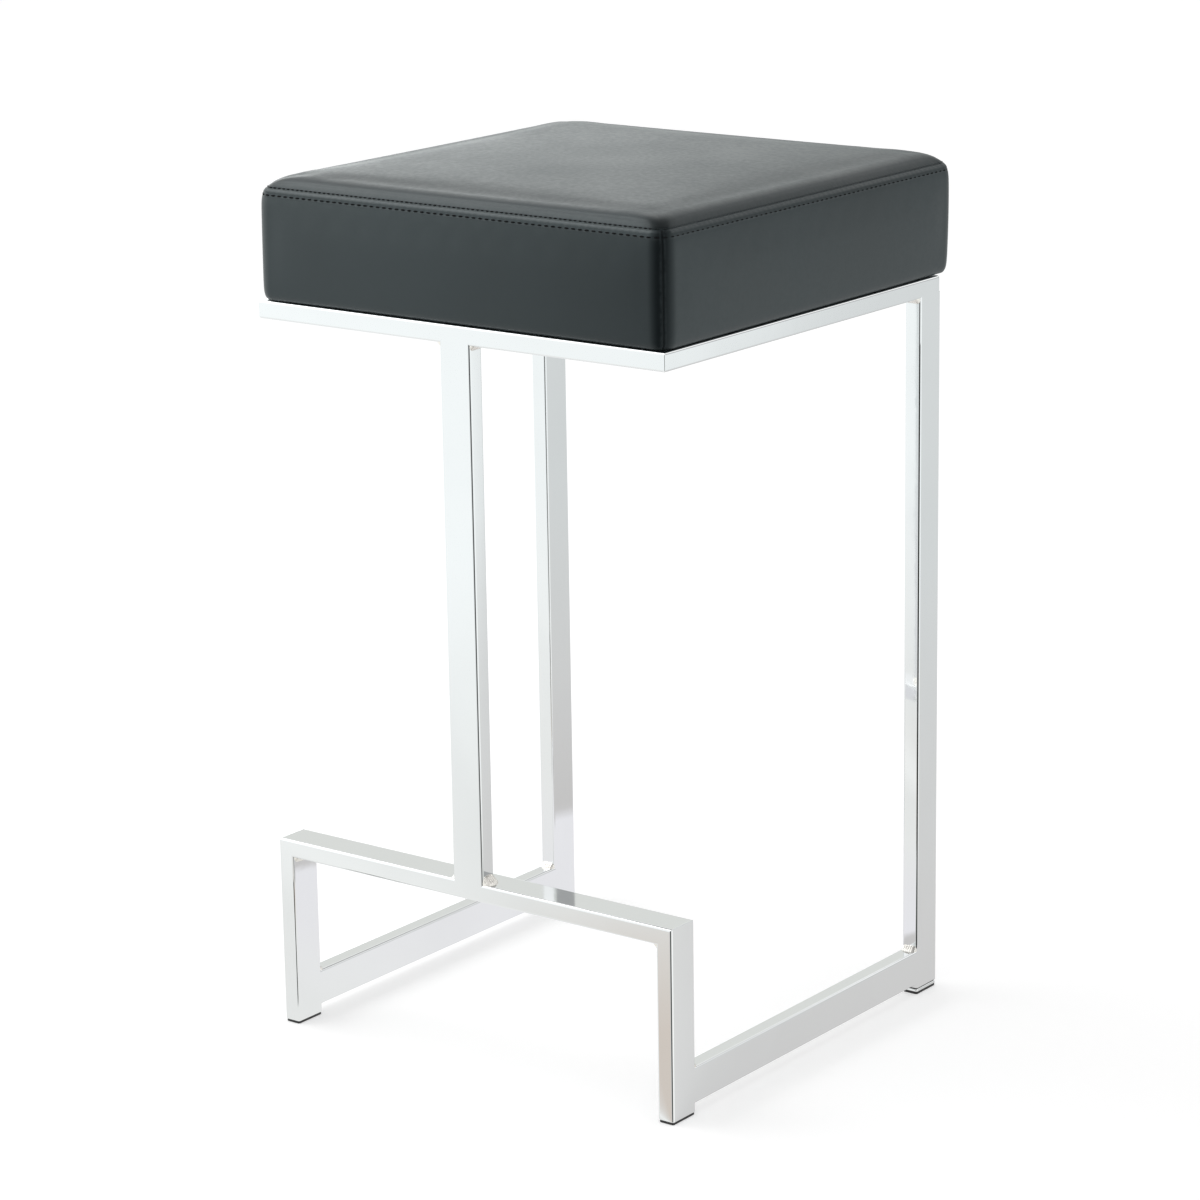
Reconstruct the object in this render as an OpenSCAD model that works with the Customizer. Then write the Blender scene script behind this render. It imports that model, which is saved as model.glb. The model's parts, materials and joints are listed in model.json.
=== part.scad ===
// Counter stool: a welded frame of flat tube carries a square padded seat.
// Origin: on the floor, under the middle of the overall box. +X is right, +Z is up,
// and the footrest side faces -Y. All lengths are in millimetres.

/* [Frame] */
// Width of the welded frame
frame_w = 400; // [340:5:460]
// Depth of the welded frame
frame_d = 380; // [330:5:440]
// Height of the top of the seat rails above the floor
rail_top_h = 611; // [520:1:700]
// Long side of the tube section
tube_wide = 30; // [26:1:36]
// Short side of the tube section
tube_thin = 15; // [12:1:20]
// Wall of the tube
tube_wall = 1.5; // [1:0.1:2]
// Outer corner radius of the tube
tube_corner_r = 2; // [1:0.1:3]
// Leg of the weld beads in the inner corners
weld_leg = 4; // [2:0.5:5]

/* [Footrest and floor rails] */
// Height of the top of the footrest bar above the floor
footrest_top_h = 161; // [120:1:240]
// Free height under the two floor rails
floor_rail_gap = 9; // [8:0.5:30]

/* [Feet] */
// Thickness of the plate that closes each leg
end_plate_t = 3; // [2:0.5:4]
// Thickness of the glide under each leg
glide_t = 2; // [1:0.5:4]
// Margin between the glide's edge and the leg's edge
glide_margin = 0.5; // [0.2:0.1:1.5]
// Radius of the glide's stem
glide_stem_r = 2.5; // [1.5:0.1:4]
// Radial clearance of the stem in its plate
glide_stem_clearance = 0.05; // [0.02:0.01:0.2]
// Reach of the stem above its plate
glide_stem_reach = 5; // [2:0.5:12]

/* [Seat] */
// Reach of the cushion past the rear of the frame
rear_overhang = 20; // [0:1:40]
// Height of the top seam above the seat rails
seam_h = 90; // [60:1:110]
// Rise of the rounded shoulder above the seam
shoulder_rise = 8.5; // [4:0.5:14]
// Width of the rounded shoulder in from the seam
shoulder_w = 24; // [12:1:40]
// Rise of the crown above the shoulder
crown_rise = 3.5; // [1:0.5:10]
// Corner radius of the cushion seen from above
cushion_corner_r = 10; // [9:0.5:20]
// Drawing in of the sides at the top and bottom of their bulge
side_bulge = 1; // [0:0.1:2]
// Extra drawing in at the top seam
seam_draw = 2.7; // [0.5:0.1:3]
// Extra drawing in at the bottom edge
bottom_draw = 4.5; // [2:0.1:5]
// Thickness of the seat board
board_t = 15; // [12:1:20]
// Thickness of the cover
cover_t = 1.1; // [0.8:0.1:1.6]
// Clearance between the foam and its cover
foam_clearance = 0.3; // [0.1:0.1:0.6]
// Thickness of the dust cover
dust_cover_t = 0.6; // [0.3:0.1:1]

/* [Fasteners] */
// Distance of the seat screws from the front and rear of the frame
screw_setback = 62; // [50:1:90]
// Radius of the screw's shank
screw_r = 2.5; // [2:0.5:3]
// Radial clearance of the screw in the rails and sheets
screw_clearance = 0.3; // [0.2:0.1:0.8]
// Radius of the screw's head
screw_head_r = 4.75; // [4.5:0.25:5.5]
// Height of the screw's head
screw_head_h = 2.75; // [2:0.25:4]
// Width across corners of the socket in the head
screw_socket_w = 3.4; // [2.6:0.2:4.6]
// Radius of the washer
washer_r = 6; // [5.5:0.5:8]
// Thickness of the washer
washer_t = 1; // [0.8:0.1:2]
// Length of the threaded inserts in the board
insert_l = 11; // [8:0.5:11]
// Wall of the threaded inserts
insert_wall = 1.4; // [0.8:0.1:2]
// Clearance between a screw and its insert, and between an insert and the board
thread_clearance = 0.1; // [0.05:0.05:0.2]
// Number of staples on each side
staples_per_side = 6; // [4:1:10]
// Width of a staple's crown
staple_w = 10; // [8:0.5:12]
// Thickness of a staple's wire
staple_wire = 0.8; // [0.6:0.1:1]
// Length of a staple's legs
staple_leg_l = 8; // [6:0.5:11]

/* [Hidden] */

// Facets of round edges and holes
round_fn = 32;
// Sides of the holes pierced in cover and dust cover
pierced_fn = 12;
// Overrun of every cutting shape
overrun = 1;

// Where the frame stands
half_w = frame_w / 2;
overall_d = frame_d + rear_overhang;
front_y = -overall_d / 2;
rear_y = front_y + frame_d;
rail_under_h = rail_top_h - tube_thin;
footrest_under_h = footrest_top_h - tube_thin;
leg_bottom_h = glide_t + end_plate_t;
floor_rail_top_h = floor_rail_gap + tube_wide;
front_leg_y = front_y + tube_wide / 2;
rear_leg_y = rear_y - tube_wide / 2;
leg_x = half_w - tube_thin / 2;

// Heights in the seat, from the floor
hem_h = rail_top_h + dust_cover_t;
board_h = hem_h + cover_t;
foam_h = board_h + board_t;
seam_z = rail_top_h + seam_h;
shoulder_z = seam_z + shoulder_rise;

// Insets of the cushion's outline
cushion_half_d = overall_d / 2;
bottom_inset = side_bulge + bottom_draw;
turn_inset = bottom_inset + 2 * cover_t;
hem_inset = bottom_inset + cover_t;
board_inset = bottom_inset + cover_t + foam_clearance;
seam_inset = side_bulge + seam_draw;

// Shape of the cushion's side and corners
bottom_power = 12;
seam_power = 10;
corner_growth_share = 0.8;
arc_steps = 4;
side_steps = 4;
band_levels = 8;
foam_levels = 6;
shoulder_levels = 5;
crown_levels = 3;

// Seat screws: through the middle of the side rails
screw_x = half_w - tube_wide / 2;
screw_ys = [front_y + screw_setback, rear_y - screw_setback];
screw_hole_r = screw_r + screw_clearance;
screw_seat_h = rail_under_h - washer_t;
insert_top_h = board_h + insert_l;
insert_bore_r = screw_r + thread_clearance;
insert_r = insert_bore_r + insert_wall;

// Staple rows: just inside the opening of the seat rails
staple_margin = 7;
hem_margin = 8;
staple_clearance = 0.05;
staple_row_x = half_w - tube_wide - staple_margin;
staple_front_y = front_y + tube_wide + staple_margin;
staple_rear_y = rear_y - tube_wide - staple_margin;
dust_cover_margin = 12;
hem_inner_x = staple_row_x - hem_margin;
hem_front_y = staple_front_y + hem_margin;
hem_rear_y = staple_rear_y - hem_margin;

// Colours of the finishes
chrome_color = "gainsboro";
leather_color = [0.22, 0.24, 0.24];
board_color = "burlywood";
foam_color = "khaki";
black_color = [0.08, 0.08, 0.08];
zinc_color = "silver";

// Rectangle with round corners, in the middle of its plane
module rounded_rect(size_x, size_y, r) {
    square([size_x - 2 * r, size_y], center = true);
    square([size_x, size_y - 2 * r], center = true);
    for (side_x = [-1, 1])
        for (side_y = [-1, 1])
            translate([side_x * (size_x / 2 - r), side_y * (size_y / 2 - r)])
                circle(r, $fn = round_fn);
}

// Hollow tube along +Z from the floor of its own frame
module tube(length, size_x, size_y) {
    linear_extrude(length)
        difference() {
            rounded_rect(size_x, size_y, tube_corner_r);
            square([size_x - 2 * tube_wall, size_y - 2 * tube_wall], center = true);
        }
}

// Prism over an outline in the X-Z plane, across the depth of a tube at the front
module front_prism(outline) {
    translate([0, front_y + tube_wide, 0])
        rotate([90, 0, 0])
            linear_extrude(tube_wide)
                polygon(outline);
}

// Prism over an outline in the X-Y plane, over the height of the seat rails
module rail_prism(outline) {
    translate([0, 0, rail_under_h])
        linear_extrude(tube_thin)
            polygon(outline);
}

// Cross rail of the seat, mitred at both ends; facing is -1 at the front and 1 at the rear
module cross_seat_rail(outer_y, facing) {
    inner_y = outer_y - facing * tube_wide;
    inner_x = half_w - tube_wide;
    intersection() {
        translate([-half_w, (outer_y + inner_y) / 2, rail_top_h - tube_thin / 2])
            rotate([0, 90, 0])
                tube(frame_w, tube_thin, tube_wide);
        rail_prism([[-half_w, outer_y], [half_w, outer_y], [inner_x, inner_y], [-inner_x, inner_y]]);
    }
}

// Side rail of the seat, mitred at both ends, with its two screw holes
module side_seat_rail(side) {
    outer_x = side * half_w;
    inner_x = side * (half_w - tube_wide);
    difference() {
        intersection() {
            translate([side * screw_x, front_y, rail_top_h - tube_thin / 2])
                rotate([-90, 0, 0])
                    tube(frame_d, tube_wide, tube_thin);
            rail_prism([
                [outer_x, front_y], [outer_x, rear_y],
                [inner_x, rear_y - tube_wide], [inner_x, front_y + tube_wide]
            ]);
        }
        for (hole_y = screw_ys)
            translate([side * screw_x, hole_y, rail_under_h - overrun])
                cylinder(h = tube_thin + 2 * overrun, r = screw_hole_r, $fn = round_fn);
    }
}

module front_seat_rail() { color(chrome_color) cross_seat_rail(front_y, -1); }
module rear_seat_rail() { color(chrome_color) cross_seat_rail(rear_y, 1); }
module left_seat_rail() { color(chrome_color) side_seat_rail(-1); }
module right_seat_rail() { color(chrome_color) side_seat_rail(1); }

// Front leg, mitred at the top where it meets the footrest bar
module front_leg(side) {
    outer_x = side * half_w;
    inner_x = side * (half_w - tube_thin);
    intersection() {
        translate([side * leg_x, front_leg_y, leg_bottom_h])
            tube(footrest_top_h - leg_bottom_h, tube_thin, tube_wide);
        front_prism([
            [outer_x, 0], [outer_x, footrest_top_h],
            [inner_x, footrest_under_h], [inner_x, 0]
        ]);
    }
}

module left_front_leg() { color(chrome_color) front_leg(-1); }
module right_front_leg() { color(chrome_color) front_leg(1); }

// Rear leg, from its end plate up to the seat rails
module rear_leg(side) {
    translate([side * leg_x, rear_leg_y, leg_bottom_h])
        tube(rail_under_h - leg_bottom_h, tube_thin, tube_wide);
}

module left_rear_leg() { color(chrome_color) rear_leg(-1); }
module right_rear_leg() { color(chrome_color) rear_leg(1); }

// Footrest bar, mitred at both ends
module footrest_bar() {
    color(chrome_color)
        intersection() {
            translate([-half_w, front_leg_y, footrest_top_h - tube_thin / 2])
                rotate([0, 90, 0])
                    tube(frame_w, tube_thin, tube_wide);
            front_prism([
                [-half_w, footrest_top_h], [half_w, footrest_top_h],
                [half_w - tube_thin, footrest_under_h], [-half_w + tube_thin, footrest_under_h]
            ]);
        }
}

// Post from the footrest bar up to the front seat rail
module centre_post() {
    color(chrome_color)
        translate([0, front_y + tube_thin / 2, footrest_top_h])
            tube(rail_under_h - footrest_top_h, tube_wide, tube_thin);
}

// Floor rail between the front and the rear leg of one side
module floor_rail(side) {
    translate([side * leg_x, front_y + tube_wide, floor_rail_gap + tube_wide / 2])
        rotate([-90, 0, 0])
            tube(frame_d - 2 * tube_wide, tube_thin, tube_wide);
}

module left_floor_rail() { color(chrome_color) floor_rail(-1); }
module right_floor_rail() { color(chrome_color) floor_rail(1); }

// Bead in the corner between +X and +Z, running along +Y
module bead(length) {
    translate([0, length, 0])
        rotate([90, 0, 0])
            linear_extrude(length)
                polygon([[0, 0], [weld_leg, 0], [0, weld_leg]]);
}

// Bead in the corner between +Y and +Z, centred on X and kept off the tube's round corners
module cross_bead(width) {
    bead_w = width - 2 * tube_corner_r;
    translate([bead_w / 2, 0, 0])
        rotate([0, 0, 90])
            bead(bead_w);
}

// Beads in the two inner corners of the footrest
module footrest_welds() {
    color(chrome_color)
        for (side = [0, 1])
            mirror([side, 0, 0])
                translate([-half_w + tube_thin, front_y + tube_corner_r, footrest_under_h])
                    mirror([0, 0, 1])
                        bead(tube_wide - 2 * tube_corner_r);
}

// Beads around the post: at its sides above and below, and behind its foot
module post_welds() {
    side_bead_l = tube_thin - 2 * tube_corner_r;
    color(chrome_color) {
        for (side = [0, 1])
            mirror([side, 0, 0]) {
                translate([tube_wide / 2, front_y + tube_corner_r, footrest_top_h])
                    bead(side_bead_l);
                translate([tube_wide / 2, front_y + tube_corner_r, rail_under_h])
                    mirror([0, 0, 1])
                        bead(side_bead_l);
            }
        translate([0, front_y + tube_thin, footrest_top_h])
            cross_bead(tube_wide);
    }
}

// Beads on top of the floor rails, at both legs
module floor_rail_welds() {
    color(chrome_color)
        for (side = [-1, 1]) {
            translate([side * leg_x, front_y + tube_wide, floor_rail_top_h])
                cross_bead(tube_thin);
            translate([side * leg_x, rear_y - tube_wide, floor_rail_top_h])
                mirror([0, 1, 0])
                    cross_bead(tube_thin);
        }
}

// Beads under the seat rails: in front of each rear leg and on its inner face
module rear_leg_welds() {
    color(chrome_color)
        for (side = [0, 1])
            mirror([side, 0, 0]) {
                translate([-leg_x, rear_y - tube_wide, rail_under_h])
                    mirror([0, 1, 0])
                        mirror([0, 0, 1])
                            cross_bead(tube_thin);
                translate([-half_w + tube_thin, rear_y - tube_wide + tube_corner_r, rail_under_h])
                    mirror([0, 0, 1])
                        bead(tube_wide - 2 * tube_corner_r);
            }
}

// Plate that closes the lower end of a leg, with the hole for the glide's stem
module end_plate(side, centre_y) {
    translate([side * leg_x, centre_y, glide_t])
        difference() {
            linear_extrude(end_plate_t)
                rounded_rect(tube_thin, tube_wide, tube_corner_r);
            translate([0, 0, -overrun])
                cylinder(h = end_plate_t + 2 * overrun, r = glide_stem_r + glide_stem_clearance,
                    $fn = round_fn);
        }
}

module left_front_end_plate() { color(chrome_color) end_plate(-1, front_leg_y); }
module right_front_end_plate() { color(chrome_color) end_plate(1, front_leg_y); }
module left_rear_end_plate() { color(chrome_color) end_plate(-1, rear_leg_y); }
module right_rear_end_plate() { color(chrome_color) end_plate(1, rear_leg_y); }

// Glide: a flat pad with a stem pressed into the end plate
module glide(side, centre_y) {
    translate([side * leg_x, centre_y, 0]) {
        linear_extrude(glide_t)
            rounded_rect(tube_thin - 2 * glide_margin, tube_wide - 2 * glide_margin, tube_corner_r);
        cylinder(h = leg_bottom_h + glide_stem_reach, r = glide_stem_r, $fn = round_fn);
    }
}

module left_front_glide() { color(black_color) glide(-1, front_leg_y); }
module right_front_glide() { color(black_color) glide(1, front_leg_y); }
module left_rear_glide() { color(black_color) glide(-1, rear_leg_y); }
module right_rear_glide() { color(black_color) glide(1, rear_leg_y); }

// Each screw place, for what is centred on it
module at_screws() {
    for (side = [-1, 1])
        for (place_y = screw_ys)
            translate([side * screw_x, place_y, 0])
                children();
}

// Each staple place, with the crown along X
module at_staples() {
    pitch_x = 2 * hem_inner_x / staples_per_side;
    pitch_y = (hem_rear_y - hem_front_y) / staples_per_side;
    for (place = [0 : staples_per_side - 1]) {
        along_x = pitch_x * (place - (staples_per_side - 1) / 2);
        along_y = hem_front_y + pitch_y / 2 + pitch_y * place;
        for (row_y = [staple_front_y, staple_rear_y])
            translate([along_x, row_y, 0])
                children();
        for (side = [-1, 1])
            translate([side * staple_row_x, along_y, 0])
                rotate([0, 0, 90])
                    children();
    }
}

// The slot that a staple makes in the sheets and the board
module staple_slot() {
    slot_w = staple_w + 2 * staple_clearance;
    slot_d = staple_wire + 2 * staple_clearance;
    translate([-slot_w / 2, -slot_d / 2, rail_top_h - overrun])
        cube([slot_w, slot_d, staple_leg_l - staple_wire + staple_clearance + overrun]);
}

// The slots and screw holes of everything soft under the board
module piercings() {
    at_screws()
        translate([0, 0, rail_top_h - overrun])
            cylinder(h = board_h - rail_top_h + 2 * overrun, r = screw_hole_r, $fn = pierced_fn);
    at_staples()
        staple_slot();
}

// Plywood board with the blind bores of the inserts and the slots of the staples
module seat_board() {
    board_w = frame_w - 2 * board_inset;
    board_d = overall_d - 2 * board_inset;
    board_r = cushion_corner_r - board_inset;
    color(board_color)
        difference() {
            translate([0, 0, board_h])
                linear_extrude(board_t)
                    rounded_rect(board_w, board_d, board_r);
            at_screws()
                translate([0, 0, board_h - overrun])
                    cylinder(h = insert_l + thread_clearance + overrun, r = insert_r + thread_clearance,
                        $fn = round_fn);
            at_staples()
                staple_slot();
        }
}

// Threaded inserts, let into the underside of the board
module insert_nuts() {
    color(zinc_color)
        at_screws()
            translate([0, 0, board_h])
                difference() {
                    cylinder(h = insert_l, r = insert_r, $fn = round_fn);
                    translate([0, 0, -overrun])
                        cylinder(h = insert_l + 2 * overrun, r = insert_bore_r, $fn = round_fn);
                }
}

// Socket screws from under the rails up into the inserts
module seat_screws() {
    color(zinc_color)
        at_screws()
            difference() {
                union() {
                    translate([0, 0, screw_seat_h - screw_head_h])
                        cylinder(h = screw_head_h, r = screw_head_r, $fn = round_fn);
                    translate([0, 0, screw_seat_h])
                        cylinder(h = insert_top_h - screw_seat_h, r = screw_r, $fn = round_fn);
                }
                translate([0, 0, screw_seat_h - screw_head_h - overrun])
                    cylinder(h = screw_head_h / 2 + overrun, r = screw_socket_w / 2, $fn = 6);
            }
}

// Washers between the screw heads and the rails
module seat_washers() {
    color(zinc_color)
        at_screws()
            translate([0, 0, screw_seat_h])
                difference() {
                    cylinder(h = washer_t, r = washer_r, $fn = round_fn);
                    translate([0, 0, -overrun])
                        cylinder(h = washer_t + 2 * overrun, r = screw_hole_r, $fn = round_fn);
                }
}

// Black sheet under the board, stapled through the cover's hem
module dust_cover() {
    color(black_color)
        difference() {
            translate([0, 0, rail_top_h])
                linear_extrude(dust_cover_t)
                    square([frame_w - 2 * dust_cover_margin, overall_d - 2 * dust_cover_margin],
                        center = true);
            piercings();
        }
}

// Staples driven up through the dust cover and the hem into the board
module staples() {
    color(zinc_color)
        at_staples() {
            translate([-staple_w / 2, -staple_wire / 2, rail_top_h - staple_wire])
                cube([staple_w, staple_wire, staple_wire]);
            for (side = [-1, 1])
                translate([side * (staple_w - staple_wire) / 2 - staple_wire / 2, -staple_wire / 2,
                    rail_top_h - staple_wire])
                    cube([staple_wire, staple_wire, staple_leg_l]);
        }
}

// Corner i of an outline: 0 is right and rear, and the count goes round anticlockwise
function corner_sign(i) = [[1, 1], [-1, 1], [-1, -1], [1, -1]][i % 4];

// Point at an angle on the round of corner i
function arc_point(ring, i, angle) =
    let (sign = corner_sign(i), half_x = ring[0], half_y = ring[1], r = ring[2])
    [sign.x * (half_x - r) + r * cos(angle), sign.y * (half_y - r) + r * sin(angle), ring[3]];

// Point at a share of the straight side that follows corner i
function side_point(ring, i, share) =
    let (start = arc_point(ring, i, 90 * (i + 1)), finish = arc_point(ring, i + 1, 90 * (i + 1)))
    start + (finish - start) * share;

// All points of one ring: [half width, half depth, corner radius, height]
function ring_points(ring) = [
    for (i = [0 : 3])
        each concat(
            [for (j = [0 : arc_steps]) arc_point(ring, i, 90 * (i + j / arc_steps))],
            [for (m = [1 : side_steps - 1]) side_point(ring, i, m / side_steps)]
        )
];

// Inset of the cushion's side at a share of the way from its bottom edge to the seam
function side_inset(share) =
    side_bulge * pow(2 * share - 1, 2)
    + bottom_draw * pow(1 - share, bottom_power)
    + seam_draw * pow(share, seam_power);

// Ring of the cushion's side at a height, moved in by a depth
function side_ring(height, depth) =
    let (inset = side_inset((height - hem_h) / (seam_z - hem_h)) + depth)
    [half_w - inset, cushion_half_d - inset, cushion_corner_r - inset, height];

// Ring of the rounded shoulder at an angle, moved in by a depth along its normal
function shoulder_ring(angle, depth) =
    let (
        normal = [cos(angle) / shoulder_w, sin(angle) / shoulder_rise],
        way = normal / norm(normal),
        along = shoulder_w * (1 - cos(angle)),
        inset = seam_inset + along + depth * way.x,
        r = cushion_corner_r - seam_inset + corner_growth_share * along - depth * way.x
    )
    [half_w - inset, cushion_half_d - inset, r, seam_z + shoulder_rise * sin(angle) - depth * way.y];

// Ring of the crown at a share of the way from the shoulder to the middle
function crown_ring(share, depth) =
    let (
        edge = shoulder_ring(90, depth),
        half_x = edge[0] * (1 - share),
        half_y = edge[1] * (1 - share),
        r = edge[2] * (1 - share) + min(half_x, half_y) * share
    )
    [half_x, half_y, r, edge[3] + crown_rise * sin(90 * share)];

// Rings of the cushion's top from the seam inwards
function top_rings(depth) = concat(
    [for (j = [0 : shoulder_levels]) shoulder_ring(90 * j / shoulder_levels, depth)],
    [for (j = [1 : crown_levels - 1]) crown_ring(j / crown_levels, depth)]
);

// Middle point of the cushion's top
function top_middle(depth) = [0, 0, shoulder_z + crown_rise - depth];

// Triangles between two rows of points of a closed strip, starting at two indexes
function strip_faces(low, high, count) = [
    for (i = [0 : count - 1])
        let (next = (i + 1) % count)
        each [[low + i, high + next, low + next], [low + i, high + i, high + next]]
];

// Triangles from a ring to one middle point
function fan_faces(start, middle, count) = [
    for (i = [0 : count - 1])
        [start + i, middle, start + (i + 1) % count]
];

// The same triangles turned over
function flipped(faces) = [for (face = faces) [face[2], face[1], face[0]]];

// Foam block with its crown, from the board up
module foam_block() {
    depth = cover_t + foam_clearance;
    rings = concat(
        [for (j = [0 : foam_levels - 1]) side_ring(foam_h + (seam_z - foam_h) * j / foam_levels, depth)],
        top_rings(depth)
    );
    count = len(ring_points(rings[0]));
    top_start = (len(rings) - 1) * count;
    bottom_middle = len(rings) * count;
    points = concat(
        [for (ring = rings) each ring_points(ring)],
        [[0, 0, foam_h], top_middle(depth)]
    );
    faces = concat(
        [for (j = [0 : len(rings) - 2]) each strip_faces(j * count, (j + 1) * count, count)],
        flipped(fan_faces(0, bottom_middle, count)),
        fan_faces(top_start, bottom_middle + 1, count)
    );
    color(foam_color)
        polyhedron(points, faces);
}

// Top panel of the cover: a crowned sheet from seam to seam
module cover_top_panel() {
    outer = top_rings(0);
    inner = top_rings(cover_t);
    count = len(ring_points(outer[0]));
    levels = len(outer);
    inner_start = levels * count + 1;
    points = concat(
        [for (ring = outer) each ring_points(ring)], [top_middle(0)],
        [for (ring = inner) each ring_points(ring)], [top_middle(cover_t)]
    );
    outer_faces = concat(
        [for (j = [0 : levels - 2]) each strip_faces(j * count, (j + 1) * count, count)],
        fan_faces((levels - 1) * count, levels * count, count)
    );
    inner_faces = flipped([for (face = outer_faces) [for (corner = face) corner + inner_start]]);
    color(leather_color)
        polyhedron(points, concat(outer_faces, inner_faces, strip_faces(inner_start, 0, count)));
}

// Rings of a band from its turned edge up to the seam: the outer face, then the inner face down
function band_rings() =
    let (
        shares = [for (j = [0 : band_levels]) (1 - cos(180 * j / band_levels)) / 2],
        turn = [half_w - turn_inset, cushion_half_d - turn_inset, cushion_corner_r - turn_inset],
        outer = [for (share = shares) side_ring(hem_h + (seam_z - hem_h) * share, 0)],
        inner = [
            for (j = [band_levels : -1 : 0])
                let (ring = side_ring(hem_h + (seam_z - hem_h) * shares[j], cover_t))
                [ring[0], ring[1], ring[2], ring[3] + cover_t * pow(1 - shares[j], bottom_power)]
        ]
    )
    concat([concat(turn, [hem_h])], outer, inner, [concat(turn, [board_h])]);

// Points of one ring along side i, from the middle of one corner to the middle of the next
function band_row(ring, i) = concat(
    [for (j = [0 : arc_steps / 2]) arc_point(ring, i, 90 * (i + 1 / 2 + j / arc_steps))],
    [for (m = [1 : side_steps - 1]) side_point(ring, i, m / side_steps)],
    [for (j = [0 : arc_steps / 2]) arc_point(ring, i + 1, 90 * (i + 1 + j / arc_steps))]
);

// Sewn band along side i: 0 rear, 1 left, 2 front, 3 right
module band_shell(i) {
    rows = [for (ring = band_rings()) band_row(ring, i)];
    around = len(rows);
    stations = len(rows[0]);
    points = [for (k = [0 : stations - 1]) for (row = rows) row[k]];
    walls = [
        for (k = [0 : stations - 2])
            each strip_faces((k + 1) * around, k * around, around)
    ];
    cap = [
        for (j = [0 : around / 2 - 2])
            each [[j, around - 1 - j, j + 1], [j + 1, around - 1 - j, around - 2 - j]]
    ];
    far_cap = flipped([for (face = cap) [for (corner = face) corner + (stations - 1) * around]]);
    polyhedron(points, concat(walls, cap, far_cap));
}

// Hem of a band: the flat part under the board, meeting its neighbours at the corners
module hem(outline) {
    translate([0, 0, hem_h])
        linear_extrude(cover_t)
            polygon(outline);
}

// A band with its hem, less the screw holes and staple slots
module cover_band(i, hem_outline) {
    color(leather_color)
        difference() {
            union() {
                band_shell(i);
                hem(hem_outline);
            }
            piercings();
        }
}

// Hem outlines: from the turned edge to the inner edge
hem_outer = [half_w - hem_inset, cushion_half_d - hem_inset];
hem_turn = [half_w - turn_inset, cushion_half_d - turn_inset];

module cross_band(i, facing, inner_y) {
    cover_band(i, [
        [-hem_outer.x, facing * hem_outer.y], [hem_outer.x, facing * hem_outer.y],
        [hem_turn.x, facing * hem_turn.y], [hem_inner_x, inner_y],
        [-hem_inner_x, inner_y], [-hem_turn.x, facing * hem_turn.y]
    ]);
}

module side_band(i, side) {
    cover_band(i, [
        [side * hem_outer.x, -hem_outer.y], [side * hem_outer.x, hem_outer.y],
        [side * hem_turn.x, hem_turn.y], [side * hem_inner_x, hem_rear_y],
        [side * hem_inner_x, hem_front_y], [side * hem_turn.x, -hem_turn.y]
    ]);
}

module cover_front_band() { cross_band(2, -1, hem_front_y); }
module cover_rear_band() { cross_band(0, 1, hem_rear_y); }
module cover_left_band() { side_band(1, -1); }
module cover_right_band() { side_band(3, 1); }

front_seat_rail();
rear_seat_rail();
left_seat_rail();
right_seat_rail();
left_front_leg();
right_front_leg();
left_rear_leg();
right_rear_leg();
footrest_bar();
centre_post();
left_floor_rail();
right_floor_rail();
footrest_welds();
post_welds();
floor_rail_welds();
rear_leg_welds();
left_front_end_plate();
right_front_end_plate();
left_rear_end_plate();
right_rear_end_plate();
left_front_glide();
right_front_glide();
left_rear_glide();
right_rear_glide();
seat_board();
foam_block();
cover_top_panel();
cover_front_band();
cover_rear_band();
cover_left_band();
cover_right_band();
dust_cover();
staples();
insert_nuts();
seat_screws();
seat_washers();
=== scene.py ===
"""Looks of a square counter stool: a welded chrome frame under a sewn, padded seat.

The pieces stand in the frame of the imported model: +X is right, +Z is up, and the
footrest side faces -Y. Sizes in the classes are in millimetres, and every mesh is
made in metres.
"""

import json
import logging
import math
from dataclasses import dataclass, field
from enum import Enum

import bpy
import numpy as np
from mathutils import Matrix, Vector
from mathutils.kdtree import KDTree

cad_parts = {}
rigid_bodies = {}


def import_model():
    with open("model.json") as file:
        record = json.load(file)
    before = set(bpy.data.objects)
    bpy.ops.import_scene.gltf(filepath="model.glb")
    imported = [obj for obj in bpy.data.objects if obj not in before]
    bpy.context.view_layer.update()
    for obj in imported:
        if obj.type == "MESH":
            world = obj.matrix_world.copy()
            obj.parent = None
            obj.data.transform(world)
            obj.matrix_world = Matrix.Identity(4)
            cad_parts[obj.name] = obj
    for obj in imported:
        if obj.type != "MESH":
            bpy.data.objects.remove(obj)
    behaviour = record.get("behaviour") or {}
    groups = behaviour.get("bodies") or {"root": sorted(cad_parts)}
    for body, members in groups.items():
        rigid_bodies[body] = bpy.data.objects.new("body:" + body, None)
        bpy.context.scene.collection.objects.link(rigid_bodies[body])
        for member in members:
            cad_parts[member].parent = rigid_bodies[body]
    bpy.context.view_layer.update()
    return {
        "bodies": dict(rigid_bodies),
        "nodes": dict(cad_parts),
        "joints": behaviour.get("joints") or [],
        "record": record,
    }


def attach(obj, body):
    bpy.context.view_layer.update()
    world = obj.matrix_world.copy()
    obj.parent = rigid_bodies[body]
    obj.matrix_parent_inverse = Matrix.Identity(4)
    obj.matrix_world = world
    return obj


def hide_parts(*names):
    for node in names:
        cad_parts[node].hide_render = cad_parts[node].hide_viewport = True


MM = 0.001
BODY = "root"
SHARP_ANGLE = math.radians(35)
FLAT_WEIGHT = 100
TINY_R = 0.05
SIDES = ((-1, "left"), (1, "right"))

Material = bpy.types.Material
Socket = bpy.types.NodeSocket
Piece = bpy.types.Object
Points = np.ndarray

log = logging.getLogger("stool")


class Slot(Enum):
    """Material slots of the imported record."""

    CHROME = "chrome"
    COVER = "cover"
    FOAM = "foam"
    DUST_COVER = "dust_cover"
    GLIDE = "glide"
    FASTENER = "fastener"


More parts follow.
